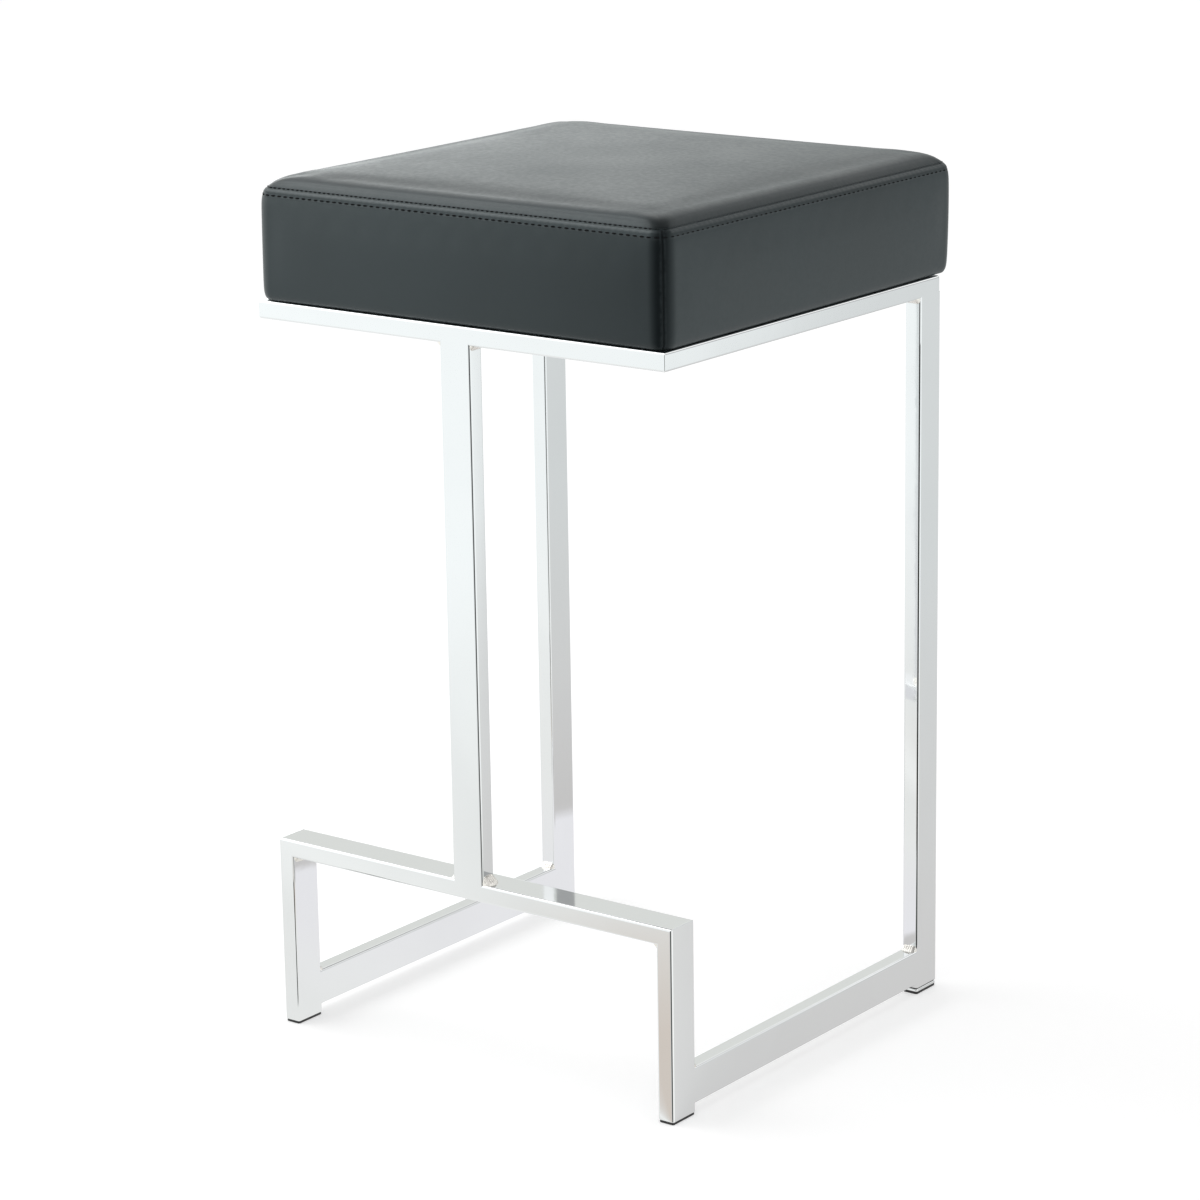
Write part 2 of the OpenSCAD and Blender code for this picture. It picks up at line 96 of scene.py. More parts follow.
class Side(Enum):
    """Sides of the seat, in the order of the outline's straight runs."""

    REAR = 0
    LEFT = 1
    FRONT = 2
    RIGHT = 3

    @property
    def facing(self) -> tuple:
        """Axis that the side faces along, and the sign on it."""
        return ((1, 1), (0, -1), (1, -1), (0, 1))[self.value]


# Node trees

class NodeTree:
    """A node tree under construction."""

    def __init__(self, tree: bpy.types.NodeTree) -> None:
        """Takes a tree and empties it."""
        self.tree = tree
        tree.nodes.clear()

    def add(self, kind: str, inputs: dict | None = None, **settings: object) -> bpy.types.Node:
        """Adds a node.

        Args:
            kind: the node's type name.
            inputs: values or sockets for its inputs, by name or index.
            settings: the node's own properties.

        Returns:
            The new node.
        """
        node = self.tree.nodes.new(kind)
        for name, value in settings.items():
            setattr(node, name, value)
        for key, value in (inputs or {}).items():
            if isinstance(value, Socket):
                self.tree.links.new(value, node.inputs[key])
            else:
                node.inputs[key].default_value = value
        return node

    def out(self, kind: str, inputs: dict, **settings: object) -> Socket:
        """Adds a node and gives its first output."""
        return self.add(kind, inputs, **settings).outputs[0]

    def math(self, operation: str, first: object, second: object = 0.0) -> Socket:
        """One sum on two values or sockets."""
        return self.out("ShaderNodeMath", {0: first, 1: second}, operation=operation)


class ShaderSheet(NodeTree):
    """A shader tree under construction."""

    def place(self, space: str = "Object") -> Socket:
        """Coordinates of the object, or of another space."""
        return self.add("ShaderNodeTexCoord").outputs[space]

    def stretched(self, vector: Socket, scale: tuple) -> Socket:
        """A pattern's coordinates with their own scale on each axis."""
        return self.out("ShaderNodeMapping", {"Vector": vector, "Scale": scale})

    def noise(self, vector: Socket, scale: float, detail: float = 3.0) -> Socket:
        """Noise from 0 to 1, with so many features per metre and octaves."""
        return self.out("ShaderNodeTexNoise", {"Vector": vector, "Scale": scale, "Detail": detail})

    def cells(self, vector: Socket, scale: float, feature: str = "F1") -> Socket:
        """Distance pattern of a cell texture, with so many cells per metre."""
        return self.out("ShaderNodeTexVoronoi", {"Vector": vector, "Scale": scale}, feature=feature)

    def spread(self, value: Socket, low: float, high: float, start: float = 0.0, stop: float = 1.0) -> Socket:
        """Maps a value's range from start to stop onto the one from low to high, clamped."""
        return self.out("ShaderNodeMapRange", {
            "Value": value, "From Min": start, "From Max": stop, "To Min": low, "To Max": high,
        })

    def band(self, value: Socket, rise: float, top: float, end: float, fall: float) -> Socket:
        """Share that rises from the first value to the second and falls from the third to the last."""
        up, down = self.spread(value, 0.0, 1.0, rise, top), self.spread(value, 1.0, 0.0, end, fall)
        return self.math("MULTIPLY", up, down)

    def blend(self, share: object, first: object, second: object) -> Socket:
        """Mixes two colours; the share is the second one's."""
        return self.add("ShaderNodeMix", {0: share, 6: first, 7: second}, data_type="RGBA").outputs[2]

    def ramp(self, value: Socket, stops: tuple, limit: float) -> Socket:
        """Colour that follows a value through stops.

        Args:
            value: the value.
            stops: pairs of a value and a colour or a grey level.
            limit: value at the ramp's end; its start is at minus the limit.

        Returns:
            The colour.
        """
        node = self.add("ShaderNodeValToRGB", {"Fac": self.spread(value, 0.0, 1.0, -limit, limit)})
        marks = node.color_ramp.elements
        while len(marks) < len(stops):
            marks.new(1.0)
        for mark, (at, color) in zip(marks, stops):
            mark.position = (at + limit) / (2 * limit)
            mark.color = color if isinstance(color, tuple) else grey(color)
        return node.outputs["Color"]

    def bump(self, height: Socket, depth: float, normal: Socket | None = None) -> Socket:
        """A bump of a real depth in millimetres, on top of another bump if there is one."""
        inputs = {"Height": height, "Distance": depth * MM, "Strength": 1.0}
        return self.out("ShaderNodeBump", inputs if normal is None else {**inputs, "Normal": normal})

    def attribute(self, name: str) -> Socket:
        """A value stored on the mesh."""
        return self.add("ShaderNodeAttribute", attribute_name=name).outputs["Fac"]

    def mirrored(self, path: bpy.types.Node) -> Socket:
        """Whether a Light Path node's ray comes from a reflection or through glass."""
        return self.math("MAXIMUM", path.outputs["Is Glossy Ray"], path.outputs["Is Transmission Ray"])


def grey(level: float) -> tuple:
    """A neutral colour at a level."""
    return (level, level, level, 1.0)


def new_material(name: str) -> tuple:
    """A material and its empty shader tree.

    Args:
        name: the material's name.

    Returns:
        The material and the tree's sheet.
    """
    material = bpy.data.materials.new(name)
    material.use_nodes = True
    return material, ShaderSheet(material.node_tree)


# Finishes

@dataclass(frozen=True)
class Finish:
    """What all finishes share."""

    name: str

    def build(self) -> Material:
        """Makes the material.

        Returns:
            The material.
        """
        material, sheet = new_material(self.name)
        shader = sheet.out("ShaderNodeBsdfPrincipled", self.inputs(sheet, sheet.place()))
        sheet.add("ShaderNodeOutputMaterial", {"Surface": shader})
        return material

    def inputs(self, sheet: ShaderSheet, place: Socket) -> dict:
        """Values or sockets by the names of the shader's inputs; each finish has its own."""
        raise NotImplementedError


@dataclass(frozen=True)
class ChromePlate(Finish):
    """Polished chrome plate with faint waves, haze and polishing marks."""

    tint: tuple = (0.86, 0.875, 0.88, 1.0)
    shade: tuple = (0.84, 0.855, 0.86, 1.0)
    roughness: float = 0.045
    haze: float = 0.11
    wave_depth: float = 0.014
    wave_scale: float = 110.0
    smudge_scale: float = 14.0
    mark_depth: float = 0.0004
    mark_scale: float = 900.0

    def inputs(self, sheet: ShaderSheet, place: Socket) -> dict:
        """Inputs of the surface shader."""
        smudge = sheet.noise(place, self.smudge_scale, detail=4.0)
        marks = sheet.noise(place, self.mark_scale, detail=2.0)
        wave = sheet.noise(place, self.wave_scale, detail=1.5)
        dull = sheet.spread(smudge, 0.0, 1.0, start=0.35, stop=0.75)
        return {
            "Base Color": sheet.blend(dull, self.tint, self.shade),
            "Metallic": 1.0,
            "Roughness": sheet.spread(smudge, self.roughness, self.haze, start=0.5, stop=0.8),
            "Normal": sheet.bump(marks, self.mark_depth, sheet.bump(wave, self.wave_depth)),
        }


@dataclass(frozen=True)
class WeldBead(ChromePlate):
    """Chrome over a weld: warmer, rippled and less even."""

    tint: tuple = (1.0, 0.975, 0.925, 1.0)
    shade: tuple = (0.96, 0.92, 0.86, 1.0)
    roughness: float = 0.42
    haze: float = 0.55
    wave_depth: float = 0.06
    wave_scale: float = 420.0


@dataclass(frozen=True)
class Leatherette(Finish):
    """Charcoal coated fabric with a fine grain and a satin sheen, with painted shade and painted highlights
    read from the mesh.
    """

    dark: tuple = (0.0122, 0.0187, 0.0218, 1.0)
    light: tuple = (0.0168, 0.0252, 0.0293, 1.0)
    glint: tuple = (0.045, 0.057, 0.061, 1.0)
    shaded: tuple = (0.005, 0.007, 0.008, 1.0)
    tint: tuple = (0.90, 1.0, 1.0, 1.0)
    gloss: float = 0.5
    shade_gloss: float = 0.06
    smooth: float = 0.30
    rough: float = 0.40
    sheen: float = 0.11
    sheen_roughness: float = 0.42
    cloud_scale: float = 9.0
    speck_scale: float = 260.0
    grain_scale: float = 1150.0
    grain_depth: float = 0.018
    pore_scale: float = 2600.0
    pore_share: float = 0.3

    def inputs(self, sheet: ShaderSheet, place: Socket) -> dict:
        """Inputs of the surface shader."""
        cloud = sheet.noise(place, self.cloud_scale, detail=4.0)
        speck = sheet.noise(place, self.speck_scale)
        grain = sheet.cells(place, self.grain_scale, "SMOOTH_F1")
        pore = sheet.noise(place, self.pore_scale, detail=2.0)
        # Painted shade: a stored share darkens the colour towards a near-black tone and lowers the gloss,
        # near the corner seams, over the right side, towards the front right and round the top's edges.
        crease = sheet.attribute("crease")
        tone = sheet.blend(sheet.spread(cloud, 0.0, 1.0, start=0.3, stop=0.7), self.dark, self.light)
        tone = sheet.blend(crease, tone, self.shaded)
        # Painted highlight: a stored share, broken into patches, lightens the colour along the seams' edges.
        patches = sheet.spread(speck, 0.2, 1.0, start=0.35, stop=0.65)
        wear = sheet.math("MULTIPLY", sheet.attribute("wear"), patches)
        unevenness = sheet.math("ADD", cloud, speck)
        relief = sheet.bump(grain, self.grain_depth)
        return {
            "Base Color": sheet.blend(wear, tone, self.glint),
            "Roughness": sheet.spread(unevenness, self.smooth, self.rough, start=0.75, stop=1.25),
            "IOR": 1.5,
            "Specular Tint": self.tint,
            "Specular IOR Level": sheet.spread(crease, self.gloss, self.shade_gloss),
            "Sheen Weight": self.sheen,
            "Sheen Roughness": self.sheen_roughness,
            "Sheen Tint": self.tint,
            "Normal": sheet.bump(pore, self.grain_depth * self.pore_share, relief),
        }


@dataclass(frozen=True)
class Mottled(Finish):
    """A finish between two colours, whose gloss follows the same noise."""

    dark: tuple = (0.010, 0.010, 0.011, 1)
    light: tuple = (0.024, 0.024, 0.025, 1)
    cloud_scale: float = 120.0
    cloud_detail: float = 4.0
    smooth: float = 0.38
    rough: float = 0.6
    metallic: float = 0.0
    relief_scale: float = 2400.0
    relief_detail: float = 3.0
    relief_depth: float = 0.02

    def inputs(self, sheet: ShaderSheet, place: Socket) -> dict:
        """Inputs of the surface shader."""
        cloud = sheet.noise(place, self.cloud_scale, self.cloud_detail)
        relief = sheet.noise(place, self.relief_scale, self.relief_detail)
        even = self.smooth == self.rough
        return {
            "Base Color": sheet.blend(cloud, self.dark, self.light),
            "Metallic": self.metallic,
            "Roughness": self.rough if even else sheet.spread(cloud, self.smooth, self.rough),
            "Normal": sheet.bump(relief, self.relief_depth),
        }


@dataclass(frozen=True)
class MouldedPlastic(Mottled):
    """Black moulded plastic with a fine sparked texture."""


@dataclass(frozen=True)
class ZincPlate(Mottled):
    """Bright zinc plate on small fasteners."""

    dark: tuple = (0.52, 0.53, 0.52, 1)
    light: tuple = (0.68, 0.68, 0.64, 1)
    cloud_scale: float = 300.0
    smooth: float = 0.22
    rough: float = 0.42
    metallic: float = 1.0
    relief_scale: float = 300.0
    relief_detail: float = 4.0
    relief_depth: float = 0.01


@dataclass(frozen=True)
class Thread(Mottled):
    """Dark twisted sewing thread, evenly dull."""

    dark: tuple = (0.002, 0.0025, 0.003, 1.0)
    light: tuple = (0.007, 0.008, 0.009, 1.0)
    cloud_scale: float = 3500.0
    cloud_detail: float = 2.0
    smooth: float = 0.85
    rough: float = 0.85
    ior: float = 1.25
    relief_scale: float = 3500.0
    relief_detail: float = 2.0
    relief_depth: float = 0.05

    def inputs(self, sheet: ShaderSheet, place: Socket) -> dict:
        """Inputs of the surface shader."""
        return {**super().inputs(sheet, place), "IOR": self.ior}


@dataclass(frozen=True)
class Plywood(Finish):
    """Raw plywood: grain on the faces and plies on the edges."""

    dark: tuple = (0.42, 0.27, 0.14, 1)
    light: tuple = (0.66, 0.48, 0.29, 1)
    grain_scale: tuple = (6.0, 90.0, 400.0)
    grain_depth: float = 0.08

    def inputs(self, sheet: ShaderSheet, place: Socket) -> dict:
        """Inputs of the surface shader."""
        grain = sheet.noise(sheet.stretched(place, self.grain_scale), 1.0, detail=6.0)
        share = sheet.spread(grain, 0.0, 1.0, start=0.3, stop=0.7)
        return {
            "Base Color": sheet.blend(share, self.dark, self.light),
            "Roughness": sheet.spread(grain, 0.6, 0.8),
            "Normal": sheet.bump(grain, self.grain_depth),
        }


@dataclass(frozen=True)
class OpenFoam(Finish):
    """Open cell foam."""

    dark: tuple = (0.74, 0.64, 0.38, 1)
    light: tuple = (0.84, 0.76, 0.50, 1)
    pit_shade: tuple = (0.45, 0.36, 0.18, 1)
    cell_scale: float = 900.0
    cell_depth: float = 0.35
    cloud_scale: float = 20.0

    def inputs(self, sheet: ShaderSheet, place: Socket) -> dict:
        """Inputs of the surface shader."""
        cell = sheet.cells(place, self.cell_scale)
        tone = sheet.blend(sheet.noise(place, self.cloud_scale), self.dark, self.light)
        return {
            # Painted shade: the cell pits are darker.
            "Base Color": sheet.blend(sheet.spread(cell, 0.4, 0.0), tone, self.pit_shade),
            "Roughness": 0.95,
            "Normal": sheet.bump(cell, self.cell_depth),
        }


@dataclass(frozen=True)
class NonWoven(Finish):
    """Black non-woven sheet with a bonded dot pattern and loose fibres."""

    dark: tuple = (0.010, 0.010, 0.011, 1)
    light: tuple = (0.034, 0.034, 0.036, 1)
    dot: tuple = (0.006, 0.006, 0.007, 1)
    dot_scale: float = 620.0
    dot_depth: float = 0.08
    fibre_stretch: tuple = (1.0, 0.25, 1.0)
    fibre_scale: float = 1800.0
    fibre_depth: float = 0.05

    def inputs(self, sheet: ShaderSheet, place: Socket) -> dict:
        """Inputs of the surface shader."""
        fibre = sheet.noise(sheet.stretched(place, self.fibre_stretch), self.fibre_scale, detail=4.0)
        bond = sheet.spread(sheet.cells(place, self.dot_scale), 1.0, 0.0, start=0.25, stop=0.42)
        tone = sheet.blend(fibre, self.dark, self.light)
        dents = sheet.bump(sheet.spread(bond, 1.0, 0.0), self.dot_depth)
        return {
            "Base Color": sheet.blend(sheet.math("MULTIPLY", bond, 0.5), tone, self.dot),
            "Roughness": sheet.spread(bond, 0.95, 0.6),
            "Normal": sheet.bump(fibre, self.fibre_depth, dents),
        }


class Palette:
    """All finishes of the stool, made once."""

    def __init__(self) -> None:
        """Makes the materials."""
        self.chrome = ChromePlate("chrome_plate").build()
        self.weld = WeldBead("chromed_weld").build()
        self.cover = Leatherette("charcoal_leatherette").build()
        self.thread = Thread("dark_thread").build()
        self.board = Plywood("raw_plywood").build()
        self.foam = OpenFoam("seat_foam").build()
        self.dust_cover = NonWoven("black_non_woven").build()
        self.glide = MouldedPlastic("black_plastic").build()
        self.zinc = ZincPlate("zinc_plate").build()


# Meshes

def add_object(name: str, data: bpy.types.ID) -> Piece:
    """Puts mesh, lamp or camera data in the scene.

    Args:
        name: the object's name.
        data: its data.

    Returns:
        The new object.
    """
    obj = bpy.data.objects.new(name, data)
    bpy.context.scene.collection.objects.link(obj)
    return obj


def stage_card(name: str, corners: list, material: Material) -> None:
    """Adds flat four-cornered cards to the stage, in metres.

    Args:
        name: the object's name.
        corners: points of all cards, four for each.
        material: their material.
    """
    mesh = bpy.data.meshes.new(name)
    mesh.from_pydata(corners, [], [tuple(range(at, at + 4)) for at in range(0, len(corners), 4)])
    mesh.materials.append(material)
    add_object(name, mesh)


@dataclass
class MeshParts:
    """Points in millimetres and faces of one piece."""

    points: Points
    faces: list

    def build(self, name: str, material: Material) -> Piece:
        """Makes the object at the origin.

        Args:
            name: the piece's name.
            material: its finish.

        Returns:
            The new object.
        """
        mesh = bpy.data.meshes.new(name)
        mesh.from_pydata(self.points * MM, [], self.faces)
        mesh.materials.append(material)
        mesh.polygons.foreach_set("use_smooth", [True] * len(mesh.polygons))
        mesh.set_sharp_from_angle(angle=SHARP_ANGLE)
        mesh.update()
        return add_object(name, mesh)


def at_height(plane: Points, height: float) -> Points:
    """A plane outline at a height."""
    return np.column_stack([plane, np.full(len(plane), height)])


def hill(value: Points | float, width: float, at: Points | float = 0.0) -> Points:
    """A bell curve: 1 at a place, falling off over a width."""
    return np.exp(-((value - at) / width) ** 2)


def grid_faces(rows: int, columns: int, closed: bool = False) -> list:
    """Quads of points stored row by row, anticlockwise when rows go up; a closed grid joins its ends."""
    pairs = [(left, (left + 1) % columns) for left in range(columns if closed else columns - 1)]
    return [(low + left, low + right, low + columns + right, low + columns + left)
            for low in range(0, (rows - 1) * columns, columns) for left, right in pairs]


def rounded_section(width: float, height: float, radius: float, steps: int = 6) -> Points:
    """Outline of a rectangle with round corners, anticlockwise, with one corner at zero.

    Args:
        width: size on the first axis.
        height: size on the second axis.
        radius: corner radius.
        steps: facets on each corner.

    Returns:
        Points as rows of two numbers.
    """
    right, top = width - radius, height - radius
    centres = ((right, top), (radius, top), (radius, radius), (right, radius))
    return np.array([
        (x + radius * math.cos(angle), y + radius * math.sin(angle)) for corner, (x, y) in enumerate(centres)
        for angle in np.radians(np.linspace(90 * corner, 90 * (corner + 1), steps + 1))
    ])


def outward(points: Points, faces: list) -> list:
    """Faces of a closed mesh, all turned over if it is inside out."""
    volume = sum(np.dot(points[face[0]], np.cross(points[a], points[b]))
                 for face in faces for a, b in zip(face[1:], face[2:]))
    return faces if volume > 0 else [face[::-1] for face in faces]


def sleeve(stations: list) -> MeshParts:
    """A closed run through sections, with flat ends.

    Args:
        stations: one array of section points for each station.

    Returns:
        The mesh parts, with faces that point outwards.
    """
    around = len(stations[0])
    faces = grid_faces(len(stations), around, closed=True)
    points = np.vstack(stations)
    faces += [tuple(range(around))[::-1], tuple(range(len(points) - around, len(points)))]
    return MeshParts(points, outward(points, faces))


def place_piece(obj: Piece, slot: Slot, *nodes: str) -> None:
    """Puts a finished piece on the stool's body.

    Args:
        obj: the piece.
        slot: the record's slot of its finish; not used.
        nodes: CAD nodes that it stands for.
    """
    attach(obj, BODY)
    if nodes:
        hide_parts(*nodes)
    log.info("%s: %d faces", obj.name, len(obj.data.polygons))


def weigh_normals(obj: Piece) -> None:
    """Keeps flats flat beside their small rounds."""
    modifier = obj.modifiers.new("flat_faces", "WEIGHTED_NORMAL")
    modifier.keep_sharp, modifier.weight = True, FLAT_WEIGHT


def solidify(obj: Piece, name: str, thickness: float) -> None:
    """Gives a sheet its thickness in millimetres, away from its face."""
    modifier = obj.modifiers.new(name, "SOLIDIFY")
    modifier.thickness, modifier.offset = thickness * MM, -1.0


@dataclass
class Group:
    """A sub-assembly of the stool."""

    palette: Palette


# Frame

@dataclass
class TubeFrame(Group):
    """The welded frame of flat tube."""

    half_w: float = 200.0
    front_y: float = -200.0
    rear_y: float = 180.0
    rail_top_z: float = 611.0
    footrest_top_z: float = 161.0
    wide: float = 30.0
    thin: float = 15.0
    corner_r: float = 2.0
    front_mitre_r: float = 0.7
    rear_mitre_r: float = 3.2
    footrest_left_r: float = 2.2
    footrest_right_r: float = 0.9
    leg_bottom_z: float = 5.0
    rear_end_r: float = 1.3
    rear_end_angles: tuple = (0, 25, 50, 70)
    # Height of the painted dark line of shade at the rear legs' lower ends.
    dark_band_rise: float = 0.85
    floor_rail_z: float = 9.0
    mitre_steps: int = 8

    @property
    def rail_under_z(self) -> float:
        """Height of the seat rails' underside."""
        return self.rail_top_z - self.thin

    def build(self) -> None:
        """Makes all tubes."""
        self.seat_ring()
        self.footrest_run()
        self.straight_tubes()

    def tube(self, name: str, node: str, stations: list) -> None:
        """Makes one tube; a rear leg gets a painted dark line of shade at its lower end, in the black plastic
        finish.

        Args:
            name: the piece's name.
            node: the CAD node that it stands for.
            stations: its sections.
        """
        obj = sleeve(stations).build(name, self.palette.chrome)
        # Painted shade: the lowest rounded edge of a rear leg takes the black plastic finish as a dark line.
        if node.endswith("rear_leg"):
            obj.data.materials.append(self.palette.glide)
            for polygon in obj.data.polygons:
                if polygon.center.z < (self.leg_bottom_z + self.dark_band_rise) * MM:
                    polygon.material_index = 1
        weigh_normals(obj)
        place_piece(obj, Slot.CHROME, node)

    def corner(self, vertex: tuple, inward: tuple, outer_r: float, step: int, depths: Points) -> Points:
        """One station on a mitred corner.

        Args:
            vertex: the corner of the outer outline.
            inward: the two inward directions, of the run before and the run after.
            outer_r: radius of the outer corner.
            step: number of the station on the way round the corner.
            depths: depth of each section point in from the outline.

        Returns:
            Plane points of the station.
        """
        before, after = np.array(inward[0], float), np.array(inward[1], float)
        radius = np.maximum(outer_r - depths, TINY_R)[:, None]
        angle = math.radians(90 * step / self.mitre_steps)
        turn = before * math.cos(angle) + after * math.sin(angle)
        return np.array(vertex) + (depths[:, None] + radius) * (before + after) - radius * turn

    def half_turns(self) -> tuple:
        """Steps of a mitred corner before its middle and after it."""
        half = self.mitre_steps // 2
        return range(0, half + 1), range(half, self.mitre_steps + 1)

    def seat_ring(self) -> None:
        """Makes the four mitred seat rails."""
        section = rounded_section(self.wide, self.thin, self.corner_r)
        depths, heights = section[:, 0], section[:, 1] + self.rail_under_z
        corners = [
            ((self.half_w, self.rear_y), ((-1, 0), (0, -1)), self.rear_mitre_r),
            ((-self.half_w, self.rear_y), ((0, -1), (1, 0)), self.rear_mitre_r),
            ((-self.half_w, self.front_y), ((1, 0), (0, 1)), self.front_mitre_r),
            ((self.half_w, self.front_y), ((0, 1), (-1, 0)), self.front_mitre_r),
        ]
        first, second = self.half_turns()
        for side in Side:
            runs = ((corners[side.value], second), (corners[(side.value + 1) % 4], first))
            stations = [np.column_stack([self.corner(*corner, step, depths), heights])
                        for corner, steps in runs for step in steps]
            name = side.name.lower()
            self.tube(f"{name}_rail_tube", f"{name}_seat_rail", stations)

    def footrest_run(self) -> None:
        """Makes the footrest bar and the two front legs, mitred into one run."""
        section = rounded_section(self.thin, self.wide, self.corner_r)
        depths, across = section[:, 0], section[:, 1] + self.front_y
        left = ((-self.half_w, self.footrest_top_z), ((1, 0), (0, -1)), self.footrest_left_r)
        right = ((self.half_w, self.footrest_top_z), ((0, -1), (-1, 0)), self.footrest_right_r)

        def station(plane: Points) -> Points:
            """Plane points on X and Z with the section's own Y."""
            return np.column_stack([plane[:, 0], across, plane[:, 1]])

        def around(corner: tuple, steps: range) -> list:
            """Stations on a corner."""
            return [station(self.corner(*corner, step, depths)) for step in steps]

        def foot(side: int) -> Points:
            """Station at a leg's lower end."""
            return station(at_height((side * (self.half_w - depths))[:, None], self.leg_bottom_z))

        first, second = self.half_turns()
        runs = {
            "left_front_leg": [foot(-1)] + around(left, first),
            "footrest_bar": around(left, second) + around(right, first),
            "right_front_leg": around(right, second) + [foot(1)],
        }
        for node, stations in runs.items():
            self.tube(f"{node}_tube", node, stations)

    def rounded_end(self, x: float, y: float) -> list:
        """Stations of the rounded lower end of a rear leg.

        Args:
            x: the section's lowest X.
            y: the section's lowest Y.

        Returns:
            One array of points for each station, upwards.
        """
        stations = []
        for angle in np.radians(self.rear_end_angles):
            inset = self.rear_end_r * (1 - math.sin(angle))
            section = rounded_section(self.thin - 2 * inset, self.wide - 2 * inset, self.corner_r - inset)
            height = self.leg_bottom_z + self.rear_end_r * (1 - math.cos(angle))
            stations.append(at_height(section + (x + inset, y + inset), height))
        return stations

    def straight_tubes(self) -> None:
        """Makes the post, the rear legs and the floor rails, ground flush where they join."""
        flush = self.corner_r
        top = self.rail_under_z + flush
        upright = rounded_section(self.thin, self.wide, self.corner_r)
        flat = rounded_section(self.wide, self.thin, self.corner_r) + (-self.wide / 2, self.front_y)
        leg_y = self.rear_y - self.wide
        runs = {"centre_post": [at_height(flat, z) for z in (self.footrest_top_z - flush, top)]}
        for side, name in SIDES:
            outer_x = self.half_w - self.thin if side > 0 else -self.half_w
            leg = upright + (outer_x, leg_y)
            runs[f"{name}_rear_leg"] = self.rounded_end(outer_x, leg_y) + [
                at_height(leg, z) for z in (self.leg_bottom_z + self.rear_end_r, top)]
            runs[f"{name}_floor_rail"] = [
                np.column_stack([leg[:, 0], np.full(len(leg), y), upright[:, 1] + self.floor_rail_z])
                for y in (self.front_y + self.wide - flush, leg_y + flush)]
        for node, stations in runs.items():
            self.tube(f"{node}_tube", node, stations)


@dataclass
class Bead:
    """One weld bead in the corner between two faces at a right angle."""

    origin: tuple
    along: tuple
    first: tuple
    second: tuple
    length: float
    leg: float
    phase: float


@dataclass
class Welds(Group):
    """Weld beads in the inner corners, as rounded, rippled lumps."""

    frame: TubeFrame
    leg: float = 4.4
    bar_leg: float = 1.2
    post_legs: tuple = (0.9, 0.8, 1.55)
    wide_margin: float = 2.4
    thin_margin: float = 1.4
    ripple: float = 0.16
    ripple_pitch: float = 2.1
    hollow: float = 0.24
    bow: float = 0.35
    end_leg: float = 0.30
    wander: float = 0.05
    sink: float = 0.5
    rows: int = 36
    steps: int = 10

    def mesh(self, bead: Bead) -> MeshParts:
        """One bead: a lump whose ends run out on both faces.

        Args:
            bead: the bead's place and size.

        Returns:
            The mesh parts.
        """
        origin, along, first, second = (
            np.array(way, float) for way in (bead.origin, bead.along, bead.first, bead.second))
        stations = []
        for row in range(self.rows + 1):
            share = row / self.rows
            end = max(1 - abs(2 * share - 1) ** 5, 0.0) ** 0.5
            at = (share - 0.5) * bead.length
            wave = self.ripple * end * math.sin(2 * math.pi * at / self.ripple_pitch + bead.phase)
            reach = bead.leg * (self.end_leg + (1 - self.end_leg) * end)
            reach *= 1 + self.wander * math.sin(1.7 * bead.phase + 5 * share)
            ring = [origin + along * at - (first + second) * self.sink]
            for step in range(self.steps + 1):
                angle = math.radians(90 * step / self.steps)
                swell = math.sin(2 * angle)
                radius = reach * (1 - self.hollow * swell) + wave * swell
                point = origin + along * (at - self.bow * at / bead.length * swell)
                point = point + radius * (first * math.cos(angle) + second * math.sin(angle))
                ring.append(point - self.sink * (second * (step == 0) + first * (step == self.steps)))
            stations.append(np.array(ring))
        return sleeve(stations)

    def build(self) -> None:
        """Makes the four groups of beads."""
        frame, leg = self.frame, self.leg
        front, rear, inner_x = frame.front_y, frame.rear_y, frame.half_w - frame.thin
        rear_face = rear - frame.wide
        rail_top = frame.floor_rail_z + frame.wide
        leg_x = frame.half_w - frame.thin / 2
        mid_wide, mid_thin = frame.wide / 2, frame.thin / 2
        wide_l, thin_l = frame.wide - self.wide_margin, frame.thin - self.thin_margin
        x_way, y_way, up, down = (1, 0, 0), (0, 1, 0), (0, 0, 1), (0, 0, -1)
        footrest, post, floor_rail, rear_leg = [], [], [], []
        for side in (-1, 1):
            inward = (-side, 0, 0)
            footrest.append(Bead((side * inner_x, front + mid_wide, frame.footrest_top_z - frame.thin),
                                 y_way, inward, down, wide_l, leg * self.bar_leg, 0.4 + side))
            top_leg, low_left, low_right = self.post_legs
            for z, way, size in ((frame.footrest_top_z, up, low_right if side > 0 else low_left),
                                 (frame.rail_under_z, down, top_leg)):
                post.append(Bead((side * mid_wide, front + mid_thin, z), y_way, (side, 0, 0), way,
                                 thin_l, leg * size, 1.1 + side + way[2]))
            for y, back in ((front + frame.wide, 1), (rear_face, -1)):
                floor_rail.append(Bead((side * leg_x, y, rail_top), x_way, (0, back, 0), up,
                                       thin_l, leg, 2.0 + side + back))
            rear_leg.append(Bead((side * leg_x, rear_face, frame.rail_under_z), x_way, (0, -1, 0), down,
                                 thin_l, leg, 0.7 + side))
            rear_leg.append(Bead((side * inner_x, rear - mid_wide, frame.rail_under_z), y_way, inward, down,
                                 wide_l, leg, 1.9 + side))
        post.append(Bead((0, front + frame.thin, frame.footrest_top_z), x_way, y_way, up, wide_l, leg, 0.2))
        groups = {"footrest_welds": footrest, "post_welds": post, "floor_rail_welds": floor_rail,
                  "rear_leg_welds": rear_leg}
        for node, beads in groups.items():
            lumps = [self.mesh(bead) for bead in beads]
            size = len(lumps[0].points)
            faces = [tuple(number * size + i for i in face)
                     for number, lump in enumerate(lumps) for face in lump.faces]
            parts = MeshParts(np.vstack([lump.points for lump in lumps]), faces)
            place_piece(parts.build(f"{node}_beads", self.palette.weld), Slot.CHROME, node)


